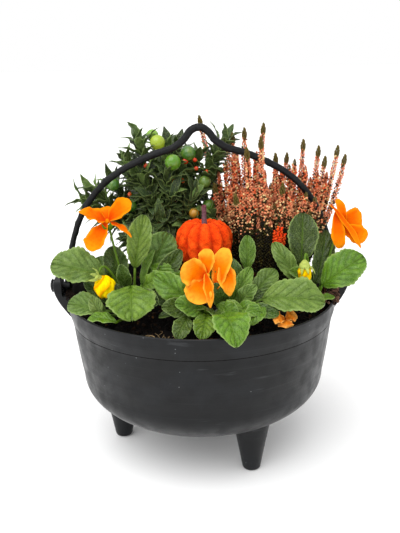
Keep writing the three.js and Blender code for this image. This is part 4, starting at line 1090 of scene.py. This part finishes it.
def bud_stem(plant):
    """The stem hooks down to a pale hood, whose sepals grip the bud."""
    plan = BUDS[plant]
    rx = plan["radii"][0]
    wide, tall = plan["hood"]
    top = at(plan["middle"]) + np.array(plan["top"]) * MM
    crown = at((*CROWNS[plant], CROWN_LEVEL))
    line = bow(crown, at(plan["hook"]), top + [0, 0, (tall - 1) * MM], np.linspace(0, 1, 20))
    heights = np.linspace(0, tall, 7) * MM
    hood = tube(top + heights[:, None] * [0, 0, 1],
                np.array([0.8, 1, 0.98, 0.85, 0.66, 0.45, 0.2]) * wide * rx * MM, 12, PALE)
    flared = sepals(top + [0, 0, 0.5 * tall * MM], plan["sepals"], plan["reach"] * MM, 3.2 * MM, 0.7, 6,
                    PALE, 5)
    return [tube(line, 1.0 * MM, 8, STALK_GREEN), hood], flared


# %% The three plants
for number, (plant, leaves) in enumerate(PANSY_LEAVES.items()):
    crown = at((*CROWNS[plant], CROWN_LEVEL))
    sheets, stalks = [], []
    for k, leaf in enumerate(leaves + PANSY_MORE[plant]):
        new_sheet, new_stalk = pansy_leaf(crown, *leaf, seed=100 * number + k)
        sheets += new_sheet
        stalks += new_stalk
    stem_parts, cup_parts = bloom_stem(plant)
    if plant in BUDS:
        more_stem, more_cup = bud_stem(plant)
        stem_parts, cup_parts = stem_parts + more_stem, cup_parts + more_cup
    foot = tube(crown + np.array([[0, 0, -8], [0, 0, -3], [0, 0, 1], [0, 0, 3]]) * MM,
                np.array([3.4, 3.4, 3.0, 2.0]) * MM, 12, mix(FRESH, DEEP, 0.5))
    finish_piece(to_object(plant + "_leaves", sheets), PANSY_LEAF, plant + "_plant")
    finish_piece(to_object(plant + "_stems", [foot, *stalks, *stem_parts, *cup_parts]), STEM,
                 plant + "_plant")

# %% [markdown]
# ## The pansy blooms
#
# A pansy has two petals at the top, two at the sides and a wide one below. They are as thin as paper and
# ruffle at the edge, so they are blades with a rounder outline, and a small beard closes the throat.

# %% The blooms and the spent bloom
def filled(row):
    """A petal's row with what it leaves out: it starts in the middle and has a petal's outline."""
    return (*row, None, "petal")[:5] if len(row) == 3 else (*row, "petal")[:5]


def petals(middle, faces, rows, seed, wave=0.14):
    """One blade for each petal. It starts near the middle of the bloom, or where its row says."""
    chance = np.random.default_rng(seed)
    middle = at(middle)
    made = []
    for k, (tip, width, own, start, outline) in enumerate(filled(row) for row in rows):
        tip = at(tip)
        base = mix(middle, tip, 0.05) if start is None else at(start)
        way = np.array(faces if own is None else own, float)
        made.append(blade(base, tip, way, width * MM, outline, arch=0.07 - 0.03 * (k % 3), cup=0.14,
                          wave=wave, waves=2.3, rows=41, columns=25, thick=0.4 * MM, under=0,
                          pucker=0.3 * MM, teeth=4, tooth=0.06, curl=0.06, ragged=0.035,
                          jitter=chance.uniform(0, 6)))
    return made


for number, (plant, plan) in enumerate(BLOOMS.items()):
    way = unit(np.array(plan["faces"], float))
    beard = scattered(grain(8, 5), at(plan["middle"])[None], way[None], np.zeros(1),
                      np.array([[2.4, 2.4, 2.4]]) * MM, np.array([[0.9, 0.9, 0.5]]))
    parts = [beard, *petals(plan["middle"], plan["faces"], plan["petals"], number)]
    finish_piece(to_object(plant + "_petals", parts), plan["finish"], plant + "_bloom")

low_rows = [((55, -92, 4), 12, None), ((75, -88, 6), 12, None), ((65, -97, -3), 14, None)]
low = to_object("spent_petals", petals((66, -90, 2), (0, -0.6, 0.8), low_rows, 9, 0.3))
finish_piece(low, WITHERED, "pansy_low_bloom")


# %% The rolled buds
def crumpled_bud(middle, radii):
    """A ball whose radius steps up like the overlapping edges of five rolled petals."""
    around, upward = np.meshgrid(np.linspace(0, 2 * np.pi, 60, endpoint=False),
                                 np.linspace(0, np.pi, 40)[1:-1], indexing="xy")
    roll = (5 * around / (2 * np.pi) + 0.9 * np.cos(upward)) % 1
    size = 0.88 + 0.17 * roll ** 1.5 + 0.03 * np.sin(9 * around + 3 * np.cos(upward)) * np.sin(upward)
    ring = np.stack([np.sin(upward) * np.cos(around), np.sin(upward) * np.sin(around), -np.cos(upward)], -1)
    size = size + 0.035 * ripples(ring, 0.8, 17)
    points = ring * size[..., None] * np.array(radii) * MM
    poles = np.array([[0, 0, -0.9], [0, 0, 0.95]]) * np.array(radii) * MM
    uv = np.stack([1 - roll, around / (2 * np.pi)], -1).reshape(-1, 2)
    return capped(at(middle) + points, at(middle) + poles, np.concatenate([uv, [[0, 0], [0, 0]]]))


for plant, plan in BUDS.items():
    bud = to_object(plant + "_rolled_bud", [crumpled_bud(plan["middle"], plan["radii"])])
    finish_piece(bud, BUD_SKIN, plant + "_bud")

# %% [markdown]
# ## The heather
#
# Bud heather is a bunch of upright shoots. Each shoot is a thin stem with closed buds all round it, cream
# below and coral above, and ends in small olive leaves. About a fifth of the buds are turned nearly cream as
# painted highlights. Low down and in front, where the light doesn't reach, olive to near-black bits take the
# place of the buds as painted shade. One bud has few faces, because thousands are set down along the shoots
# in a golden-angle spiral.

# %% The four bunches of shoots
# Each bunch: its crown, how many shoots fill it, how far they spread and how high they stand, how far they
# are drawn to the front, the ends of the tall shoots with olive tips, and the ends of more low shoots.
HEATHER = {
    "heather_1": {"crown": (64, -10), "fill": 30, "spread": 27, "height": 88, "front": 6,
                  "tips": [(40, -27, 136), (52, -29, 145), (72, -25, 104), (30, -27, 96)],
                  "more": [(98, -20, 78), (106, -21, 82), (90, -20, 86), (112, -21, 76), (80, -20, 96),
                           (102, -20, 90), (84, -18, 76), (70, -22, 88), (46, -22, 104), (58, -20, 98),
                           (94, -19, 94), (64, -18, 106), (38, -18, 100), (34, -10, 92), (52, -16, 112)]},
    "heather_2": {"crown": (42, 40), "fill": 20, "spread": 26, "height": 96, "front": 0,
                  "tips": [(34, 50, 141), (45, 45, 146), (62, 34, 151), (15, 30, 96)],
                  "more": [(26, 40, 116), (34, 34, 122), (48, 34, 118), (56, 40, 124), (20, 46, 104)]},
    "heather_3": {"crown": (86, 34), "fill": 30, "spread": 29, "height": 84, "front": 4,
                  "tips": [(100, 35, 135), (114, 31, 129), (119, 24, 120), (132, 30, 129), (140, 33, 120),
                           (72, 24, 124)],
                  "more": [(106, 28, 100), (114, 26, 96), (122, 30, 104), (96, 26, 106), (118, 30, 88),
                           (108, 22, 90), (86, 30, 112), (126, 34, 94), (112, 24, 106), (100, 22, 112),
                           (120, 26, 98), (90, 24, 118), (78, 26, 110)]},
    "heather_4": {"crown": (66, 72), "fill": 20, "spread": 32, "height": 96, "front": -8,
                  "tips": [(3, 74, 156), (30, 80, 130), (90, 70, 118)],
                  "more": [(96, 62, 106), (108, 58, 100), (80, 78, 112), (60, 84, 116), (40, 84, 120)]},
}
TUFT = [(66, -30, 62), (69, -31, 66), (72, -30, 60), (67, -31, 57)]
HEATHER_ROOT = -9.0
GOLDEN = np.pi * (3 - np.sqrt(5))
CORAL, SALMON, CREAM = paint("E45E2C"), paint("F09A70"), paint("FEDC9C")
OLIVE, BROWN, RED_TUFT = paint("5E561E"), paint("120E08"), paint("F8440C")
RUSSET = paint("6A2A10")
FRONT_LIMIT, FRONT_LIMIT_RIGHT = -26, -19  # the shoots stay behind these Y values
BAIL_SWING = np.radians(6)


# %% The lines of the shoots
def shoot_tips(plan, seed):
    """The shoots that stand out, and lower ones that fill the bunch in a spiral round its crown and stay
    behind the pansies."""
    chance = np.random.default_rng(seed)
    k = np.arange(plan["fill"])
    out = plan["spread"] * np.sqrt((k + 0.7) / plan["fill"])
    turn = k * GOLDEN + seed
    x, y = plan["crown"]
    high = plan["height"] - 0.5 * out + 26 * (chance.uniform(0, 1, len(k)) - 0.5)
    lower = np.stack([x + out * np.cos(turn), y - plan["front"] + out * np.sin(turn), high], 1)
    lower[:, 1] = np.maximum(lower[:, 1], np.where(lower[:, 0] > 74, FRONT_LIMIT_RIGHT, FRONT_LIMIT))
    return ([(np.array(tip, float), True) for tip in plan["tips"]]
            + [(tip, False) for tip in [*lower, *np.array(plan["more"], float)]])


def shoot_line(crown, tip, shares):
    """A line that leaves the crown, spreads early and then rises almost straight."""
    start = np.array([crown[0], crown[1], HEATHER_ROOT])
    start[:2] += 0.1 * (tip - start)[:2]
    pull = start + (tip - start) * [0.72, 0.72, 0.42]
    return bow(start, pull, tip, shares)


def clear_of_bail(line):
    """True where no point of the line comes into the slice that the bail sweeps."""
    high = line[:, 2] - PIVOT_RISE
    reach = np.hypot(line[:, 0] / BAIL_REACH, high / BAIL_RISE)
    near = (reach > 0.80) & (reach < 1.12) & (high > 5)
    return not (near & (np.abs(line[:, 1]) < high * np.sin(BAIL_SWING) + 8)).any()


def round_shoot(crown, tip, share):
    """The shoot's points at the shares, its direction there, and a direction out of it that turns by the
    golden angle from each point to the next."""
    line = shoot_line(crown, tip, share)
    along = unit(np.gradient(line, axis=0))
    side = unit(np.cross(along, [0.2, 1, 0.1]))
    turn = (np.arange(len(share)) * GOLDEN)[:, None]
    return line, along, np.cos(turn) * side + np.sin(turn) * np.cross(along, side)


# %% Buds, tips and the red tuft
BUD_SHAPE = np.array([[1.12, 1.12, 1.5]])
BLOOM_FROM = 0.34  # the share of a shoot's length from which buds stand on it


def heather_buds(crown, tip, tall, chance, tip_length):
    """Closed buds in a spiral along the shoot: cream below, coral above, and smaller towards the top. About a
    fifth of them are turned nearly cream as painted highlights. The lower a bud sits, and the further in
    front, the more likely it is painted olive to near-black as shade."""
    length = np.linalg.norm(tip - np.array([*crown, HEATHER_ROOT]))
    last = 1 - 0.8 * tip_length / length
    count = int(length * (1.7 if tall else 1.8))
    share = np.linspace(BLOOM_FROM, last, count)
    line, along, out = round_shoot(crown, tip, share)
    high = ((share - BLOOM_FROM) / (last - BLOOM_FROM))[:, None]
    body = 1 - (0.35 if tall else 0.45) * high[:, 0] ** 1.5
    reach = 2.8 * body * chance.uniform(0.6, 1.2, count)
    ways = unit(out + along * chance.uniform(-0.3, 0.9, (count, 1)))
    tints = mix(CREAM, CORAL, ((line[:, 2:] - 52) / 38 + chance.normal(0, 0.35, (count, 1))).clip(0, 1))
    tints = mix(tints, SALMON, (chance.uniform(0, 1, (count, 1)) + (0.25 if tall else -0.1)).clip(0, 1))
    # Painted highlights: about a fifth of the buds are turned nearly cream.
    tints = mix(tints, CREAM, 0.9 * (chance.uniform(0, 1, (count, 1)) > 0.80))
    tints = mix(tints, RUSSET, 0.9 * (chance.uniform(0, 1, (count, 1)) > (0.92 if tall else 0.80)))
    # Painted shade: buds low down and in front turn olive to near-black.
    low = ((76 - 0.45 * line[:, 1:2] - line[:, 2:]) / 36).clip(0, 1)
    painted_shade_share = (0.03 + 0.25 * (1 - high) if tall else 0.06) + 1.15 * low ** 1.2
    in_painted_shade = chance.uniform(0, 1, (count, 1)) < painted_shade_share
    tints = np.where(in_painted_shade, mix(OLIVE, BROWN, chance.uniform(0, 1, (count, 1)) ** 0.25), tints)
    sizes = (0.92 - 0.2 * tall * high) * chance.uniform(0.8, 1.25, (count, 1)) * BUD_SHAPE
    return scattered(grain(5, 2), at(line + out * reach[:, None]), ways, 0 * share, sizes * MM, tints)


def shoot_tip(crown, tip, chance, tip_length, low, high):
    """Small leaves, or unripe buds where the colours say so, that lie close along the end of the shoot
    and swell like an arrowhead."""
    count = 30 if tip_length > 8 else 14
    length = np.linalg.norm(tip - np.array([*crown, HEATHER_ROOT]))
    step = np.linspace(1, 0.05, count)
    line, along, out = round_shoot(crown, tip, 1 - step * tip_length / length)
    swell = np.sin(np.pi * step ** 1.4) ** 0.8
    tints = mix(low, high, chance.uniform(0, 1, (count, 1)))
    slim = 0.55 + 0.045 * tip_length
    sizes = np.tile([0.7, 0.7, 2.0], (count, 1)) * slim
    return scattered(grain(4, 2), at(line + out * slim * (0.2 + 1.8 * swell)[:, None]), along + 0.25 * out,
                     0 * step, sizes * MM, tints)


def tuft(crown, chance):
    """A few short shoots in front whose buds are a bright orange red."""
    made = []
    count = 40
    for tip in np.array(TUFT, float):
        share = np.linspace(0.80, 1, count)
        line, along, out = round_shoot(crown, tip, share)
        tints = mix(RED_TUFT, paint("F26A20"), chance.uniform(0, 1, (count, 1)) ** 2)
        made.append(scattered(grain(5, 3), at(line + 1.9 * out), out + 0.5 * along, 0 * share,
                              np.tile([0.95, 0.95, 1.5], (count, 1)) * MM, tints))
        made.append(tube(at(shoot_line(crown, tip, np.linspace(0, 1, 14))), 0.6 * MM, 5, BROWN))
    return made


# %% The bunches from their shoots
for number, (bunch, plan) in enumerate(HEATHER.items()):
    chance = np.random.default_rng(50 + number)
    parts = tuft(plan["crown"], chance) if bunch == "heather_1" else []
    kept = 0
    for tip, tall in shoot_tips(plan, 70 + number):
        whole = shoot_line(plan["crown"], tip, np.linspace(0, 1, 24))
        if not tall and not clear_of_bail(whole):
            continue
        kept += 1
        tip_length = 10 if tall else 4.5
        tip_colours = (OLIVE, paint("6E5A2E")) if tall or kept % 5 == 0 else (paint("8A3A1E"), SALMON)
        wood = tube(at(whole), np.linspace(1.2, 0.4, 24) * MM, 5, mix(BROWN, RUSSET, 0.5))
        parts += [heather_buds(plan["crown"], tip, tall, chance, tip_length),
                  shoot_tip(plan["crown"], tip, chance, tip_length, *tip_colours), wood]
    finish_piece(to_object(bunch + "_shoots", parts), HEATHER_BUDS, bunch)
    print("  shoots:", kept)

# %% [markdown]
# ## The berry shrub
#
# The shrub is a bushy nightshade: woody branches, narrow dark leaves whose wavy edges carry a pale painted
# highlight, and round berries on short stalks. Each branch carries leaves in a golden-angle spiral that lie
# closer along it towards its end, where they crowd into a rosette.

# %% Where the branches end
TRUNK_TOP = np.array([-34, 44, 34.0])
BRANCHES = [
    (-55, 46, 133), (-97, 42, 88), (17, 50, 118), (-16, 44, 108), (-50, 36, 96), (-72, 40, 68),
    (-26, 27, 82), (-50, 22, 52), (4, 36, 62), (-40, 72, 108), (-80, 66, 88), (-8, 74, 92),
]
TWIGS_MORE = [
    (-20, 60, 120), (-66, 60, 108), (-30, 30, 100), (8, 54, 92), (-86, 52, 60), (-60, 30, 40),
    (-36, 24, 60), (-10, 30, 48), (-58, 84, 70), (-22, 88, 70), (12, 66, 66), (-4, 52, 110),
    (23, 48, 130), (-30, 50, 124), (-62, 40, 108), (-104, 44, 76), (-6, 26, 84), (-44, 30, 78),
]
SHRUB_GREENS = [paint("1C2A1E"), paint("26362A"), paint("384A32"), paint("101A12"), paint("70865A")]
GREEN_SHARES = [0.28, 0.24, 0.18, 0.2, 0.10]
TWIG_GREEN = paint("4E6B34")
LEAVES_FROM = 0.35  # the share of a branch's length from which leaves stand on it
BAIL_SLOPE, BAIL_ROOM = 0.105, 5  # the slice that the bail sweeps: its slope, and the room beside it


# %% A branch and its leaves
def branch_line(end, shares):
    """A bow from the trunk to the branch's end, lifted in the middle. The fraction of a steep sine
    scatters the heights at which the branches leave the trunk."""
    wave = np.sin((end[0] + 2 * end[1]) * 12.9898 + 4.1414) * 43758.5453
    start = np.array([TRUNK_TOP[0], TRUNK_TOP[1], 8 + 26 * (wave - np.floor(wave))])
    pull = mix(start, np.array(end, float), 0.5) + [0, 0, 8]
    return bow(start, pull, np.array(end, float), shares)


def branch_leaves(end, index, count):
    """Leaves from a third of the branch to its end, turned by the golden angle, that lean out less towards
    the end. A leaf that would come into the slice that the bail sweeps is left out."""
    chance = np.random.default_rng(200 + index)
    share = np.linspace(0, 1, count) ** 0.6
    where = LEAVES_FROM + (1 - LEAVES_FROM) * share
    roots = branch_line(end, where)
    along = unit(branch_line(end, where + 0.01) - branch_line(end, where - 0.01))
    side = unit(np.cross([0, 0, 1.0], along))
    other = np.cross(along, side)
    made = []
    for k in range(count):
        turn = k * GOLDEN + index
        out = side[k] * np.cos(turn) + other[k] * np.sin(turn)
        lean = np.radians(82 - 60 * share[k] ** 2 + chance.uniform(-12, 12))
        way = unit(along[k] * np.cos(lean) + out * np.sin(lean) - [0, 0, 0.15 * (1 - share[k])])
        length = chance.uniform(17, 27) * (1 + 0.15 * share[k])
        tip = roots[k] + way * length
        slice_half = max(tip[2], 0) * BAIL_SLOPE + BAIL_ROOM
        if abs(tip[1]) < slice_half or abs(roots[k][1] + way[1] * length / 2) < BAIL_ROOM:
            continue
        green = SHRUB_GREENS[chance.choice(5, p=GREEN_SHARES)] * chance.uniform(0.8, 1.25)
        made.append(blade(at(roots[k]), at(tip), along[k] - 0.3 * out, chance.uniform(7, 10) * MM, "lance",
                          arch=chance.uniform(0.02, 0.12), cup=0.15, fold=0.2, wave=0.26, waves=2.6,
                          curl=0.08, rows=11, columns=5, thick=0.5 * MM, tint=green, under=0.2,
                          jitter=chance.uniform(0, 6)))
    return made


# %% All the leaves and branches
leaves, wood = [], []
for index, end in enumerate(BRANCHES + TWIGS_MORE):
    leaves += branch_leaves(end, index, 27)
    line = branch_line(end, np.linspace(0, 1, 14))
    wood.append(tube(at(line), np.linspace(2.2, 0.7, 14) * MM, 7, mix(paint("5A5034"), TWIG_GREEN, 0.5)))
print("shrub leaves:", len(leaves))
trunk = np.array([[-32, 42, -20], [-32, 42, -8], [-33, 43, 13], [-34, 44, 34]], float)
wood.append(tube(at(trunk), np.array([4.5, 4.2, 3.4, 2.4]) * MM, 12, paint("5A4A34")))

# %% The berries
# Each berry: its middle, radius, colour and the slot of its solid.
BERRIES = [
    ((-38, 40, 135), 7.2, "9AB028", "berry_yellow"), ((-24, 31, 117), 7.6, "57881E", "berry_green"),
    ((-9, 40, 124), 7.4, "3C6820", "berry_green"), ((-82, 40, 96), 6.6, "44722A", "berry_green"),
    ((-66, 36, 76), 6.4, "3F7426", "berry_green"), ((6, 36, 97), 6.0, "5B7D33", "berry_green"),
    ((-5, 26, 69), 5.0, "C08A2A", "berry_orange"), ((9, 36, 74), 6.0, "4F7F2C", "berry_green"),
    ((-43, 55, 140), 6.0, "7AA832", "berry_green"),
]


def berry(place, radius, way, tint):
    """A round fruit that is dented where its stalk comes in: the radius shrinks there by a bell curve."""
    angle = np.linspace(-np.pi / 2, np.pi / 2, 26)
    dent = 1 - 0.16 * np.exp(-((np.pi / 2 - angle) / 0.28) ** 2)
    shape = turned(np.stack([(np.cos(angle) * dent).round(6), np.sin(angle) * dent], 1), 36)
    return scattered(shape, at(place)[None], way[None], np.zeros(1), np.full((1, 3), radius * MM), tint[None])


def nearest_branch(place):
    """The point of the branches' middle lines that lies nearest to the place."""
    points = np.concatenate([branch_line(end, np.linspace(0, 1, 11)) for end in BRANCHES])
    return points[np.argmin(np.linalg.norm(points - place, axis=1))]


for k, (place, radius, code, slot) in enumerate(BERRIES, 1):
    place = np.array(place, float)
    root = nearest_branch(place)
    way = unit(root - place)
    finish_piece(to_object(f"fruit_{k}", [berry(place, radius, way, paint(code))]), BERRY_SKIN,
                 f"berry_{k}")
    end = place + way * (radius - 0.4)
    wood.append(bent_tube(root, (root + end) / 2 + [0, 0, 3], end, 0.8, 6, paint("6E8A3C"), 7))

# %% The small ripe fruit, the leaves and the wood
# Each small fruit: its middle.
small = np.array([(-50, 40, 113), (-12, 38, 117), (-3, 38, 118), (-28, 34, 103), (-20, 32, 97), (-66, 34, 87),
                  (-2, 36, 110), (8, 38, 106), (14, 36, 80), (-24, 34, 99), (-15, 34, 99)], float)
small_size = np.random.default_rng(8).uniform(1.6, 2.8, (len(small), 1)) * np.array([[1.0, 1.0, 1.3]])
small_way = np.random.default_rng(9).normal(size=small.shape)
ripe = scattered(grain(12, 7), at(small), small_way, np.zeros(len(small)), small_size * MM,
                 np.tile(paint("D8380C"), (len(small), 1)))
finish_piece(to_object("small_ripe_fruit", [ripe]), BERRY_SKIN, None)
for place in small:
    root = nearest_branch(place)
    wood.append(bent_tube(root, (root + place) / 2 + [0, 0, 2], place, 0.5, 5, TWIG_GREEN))
finish_piece(to_object("shrub_leaves", leaves), SHRUB_LEAF, "shrub")
finish_piece(to_object("shrub_wood", wood), BARK, "shrub")

# %% [markdown]
# ## The velvet pumpkin
#
# The pumpkin is stuffed velvet, drawn in by threads that run from its top to its underside. Between the
# threads the cloth swells into ribs, and along each thread it puckers.

# %% The pumpkin's cover
PUMPKIN_MIDDLE = at((3, -12, 48))
PUMPKIN_COLUMNS, THREADS = 216, 12
# Painted light on the velvet: shade in the grooves at the threads, a highlight on the ribs' crests.
GROOVE_PAINTED_SHADE, CREST_PAINTED_HIGHLIGHT = np.array([0.70, 0.46, 0.4]), np.array([1.12, 1.16, 1.2])
PUMPKIN_PROFILE = np.array([
    (0, -16), (8, -20), (17, -19.5), (24, -12), (26.5, 0), (25, 11), (18.5, 19.5), (9, 21.5), (0, 17),
], float)


def pumpkin_body(rows=70, columns=PUMPKIN_COLUMNS):
    """A turned profile whose radius dips at each thread by a power of a cosine, before it is stuffed. Its
    points carry painted shade in the grooves and at the poles, and a painted highlight on the crests.
    """
    line = smooth_line(PUMPKIN_PROFILE, 12)
    inner = line[np.linspace(0, len(line) - 1, rows).astype(int)][1:-1]
    around = 2 * np.pi * np.arange(columns) / columns
    crest = np.abs(np.cos(THREADS / 2 * around))[None] ** 0.8
    level = np.linspace(0, 1, len(inner))[:, None]
    pinch = 0.98 - 0.15 * (1 - crest) * np.sin(np.pi * level) ** 0.5
    radius = inner[:, :1] * pinch
    height = inner[:, 1:] - 1.6 * (1 - crest) * (level - 0.5) * 2
    points = np.stack([radius * np.cos(around), radius * np.sin(around), height], -1)
    points += 0.18 * ripples(points, 9, 8)[..., None] * unit(points)
    poles = np.array([[0, 0, line[0, 1]], [0, 0, line[-1, 1]]])
    # Painted shade darkens the grooves and the two poles, and a painted highlight lightens the crests.
    shade = np.broadcast_to(mix(GROOVE_PAINTED_SHADE, CREST_PAINTED_HIGHLIGHT, crest[..., None]), points.shape).reshape(-1, 3)
    return capped(PUMPKIN_MIDDLE + points * MM, PUMPKIN_MIDDLE + poles * MM,
                  tint=np.concatenate([shade, [[0.7] * 3] * 2]))


# %% The stuffing
def stuff(piece, held, cap, frames=20):
    """Cloth simulation: the held points stay, pressure swells the rest, the cloth is a little too large
    so that it puckers at the threads, and no point moves further than the cap."""
    before = np.empty(len(piece.data.vertices) * 3, np.float32)
    piece.data.vertices.foreach_get("co", before)
    piece.vertex_groups.new(name="threads").add(held, 1.0, "REPLACE")
    modifier = piece.modifiers.new("cloth", "CLOTH")
    cloth = modifier.settings
    cloth.quality = 5
    cloth.mass = 0.1
    cloth.vertex_group_mass = "threads"
    cloth.use_pressure = True
    cloth.uniform_pressure_force = 4
    cloth.shrink_min = -0.06
    cloth.effector_weights.gravity = 0
    modifier.collision_settings.use_collision = False
    modifier.collision_settings.use_self_collision = False
    for step in range(1, frames + 1):
        bpy.context.scene.frame_set(step)
    swollen = piece.evaluated_get(bpy.context.evaluated_depsgraph_get()).data
    after = np.empty_like(before)
    swollen.vertices.foreach_get("co", after)
    piece.modifiers.clear()
    piece.vertex_groups.clear()
    bpy.context.scene.frame_set(1)
    moved = (after - before).reshape(-1, 3)
    far = np.linalg.norm(moved, axis=1, keepdims=True)
    moved *= np.minimum(1, cap / np.maximum(far, 1e-9))
    piece.data.vertices.foreach_set("co", (before.reshape(-1, 3) + moved).ravel())
    piece.data.update()
    print("cloth moved on average, mm:", round(float(far.mean()) / MM, 2))


# %% The stuffed pumpkin
pumpkin = to_object("velvet_pumpkin", [pumpkin_body()])
numbers = np.arange(len(pumpkin.data.vertices))
rib = PUMPKIN_COLUMNS // THREADS
# The points along the threads, half a rib from the crests, and the two poles are held.
held = (numbers % PUMPKIN_COLUMNS % rib == rib // 2) | (numbers >= len(numbers) - 2)
stuff(pumpkin, numbers[held].tolist(), 3 * MM)
smoother = pumpkin.modifiers.new("finer", "SUBSURF")
smoother.levels = smoother.render_levels = 1
finish_piece(pumpkin, VELVET, "pumpkin")

# %% The stalk and the stick
twig_heights = np.array([8, 14, 20, 25, 28, 32, 35, 36])
twig_places = np.stack([0.2 * np.sin(twig_heights), 0.025 * (twig_heights - 8), twig_heights], 1)
twig_line = PUMPKIN_MIDDLE + twig_places * MM
twig = tube(twig_line, np.array([2.3, 2.4, 2.45, 2.2, 2.1, 2.25, 2.35, 1.6]) * MM, 14, paint("7A5055"))
twig["tint"] = mix(paint("7C6C78"), paint("74343C"), np.linspace(0, 1, len(twig["points"]))[:, None])
finish_piece(to_object("pumpkin_stalk", [twig]), BARK, "pumpkin_twig")
pick = tube(at(np.array([[3, -12, -57], [3, -12, -55], [3, -12, 20], [3, -12, 40]])),
            np.array([0.8, 1.6, 1.6, 1.6]) * MM, 12, paint("B08A58"))
finish_piece(to_object("pumpkin_stick", [pick]), BARK, "pumpkin_pick")

# %% [markdown]
# ## Floor and light
#
# The photograph is a cut-out on white under soft, even light, as under a bright overcast sky. A white
# floor and a white surround give that, and a wide, soft sun from the front left shapes the leaves.

# %% Floor, surround and sun
floor = to_object("floor", [part(np.array([[-20, -20, 0], [20, -20, 0], [20, 20, 0], [-20, 20, 0]], float),
                                 np.array([[0, 1, 2, 3]]))])
floor_finish = Tree("pale_floor", 0.8)
floor.data.materials.append(floor_finish.colour((0.97, 0.97, 0.97)))

world = bpy.data.worlds.new("surround")
world.use_nodes = True
world.node_tree.nodes["Background"].inputs["Color"].default_value = (1, 1, 1, 1)
world.node_tree.nodes["Background"].inputs["Strength"].default_value = 1.0
bpy.context.scene.world = world
bpy.context.scene.view_settings.view_transform = "Standard"


def sun(name, place, softness, strength):
    """A sun that shines from the place towards the origin, with the softness as its width in the sky."""
    data = bpy.data.lights.new(name, "SUN")
    data.angle, data.energy = np.radians(softness), strength
    item = bpy.data.objects.new(name, data)
    bpy.context.scene.collection.objects.link(item)
    back = unit(np.array(place, float))
    side = unit(np.cross([0, 0, 1.0], back))
    turn = Matrix([list(row) for row in np.stack([side, np.cross(back, side), back], axis=1)])
    item.matrix_world = turn.to_4x4()


sun("key", (-0.5, -0.75, 1.3), 60, 2.0)
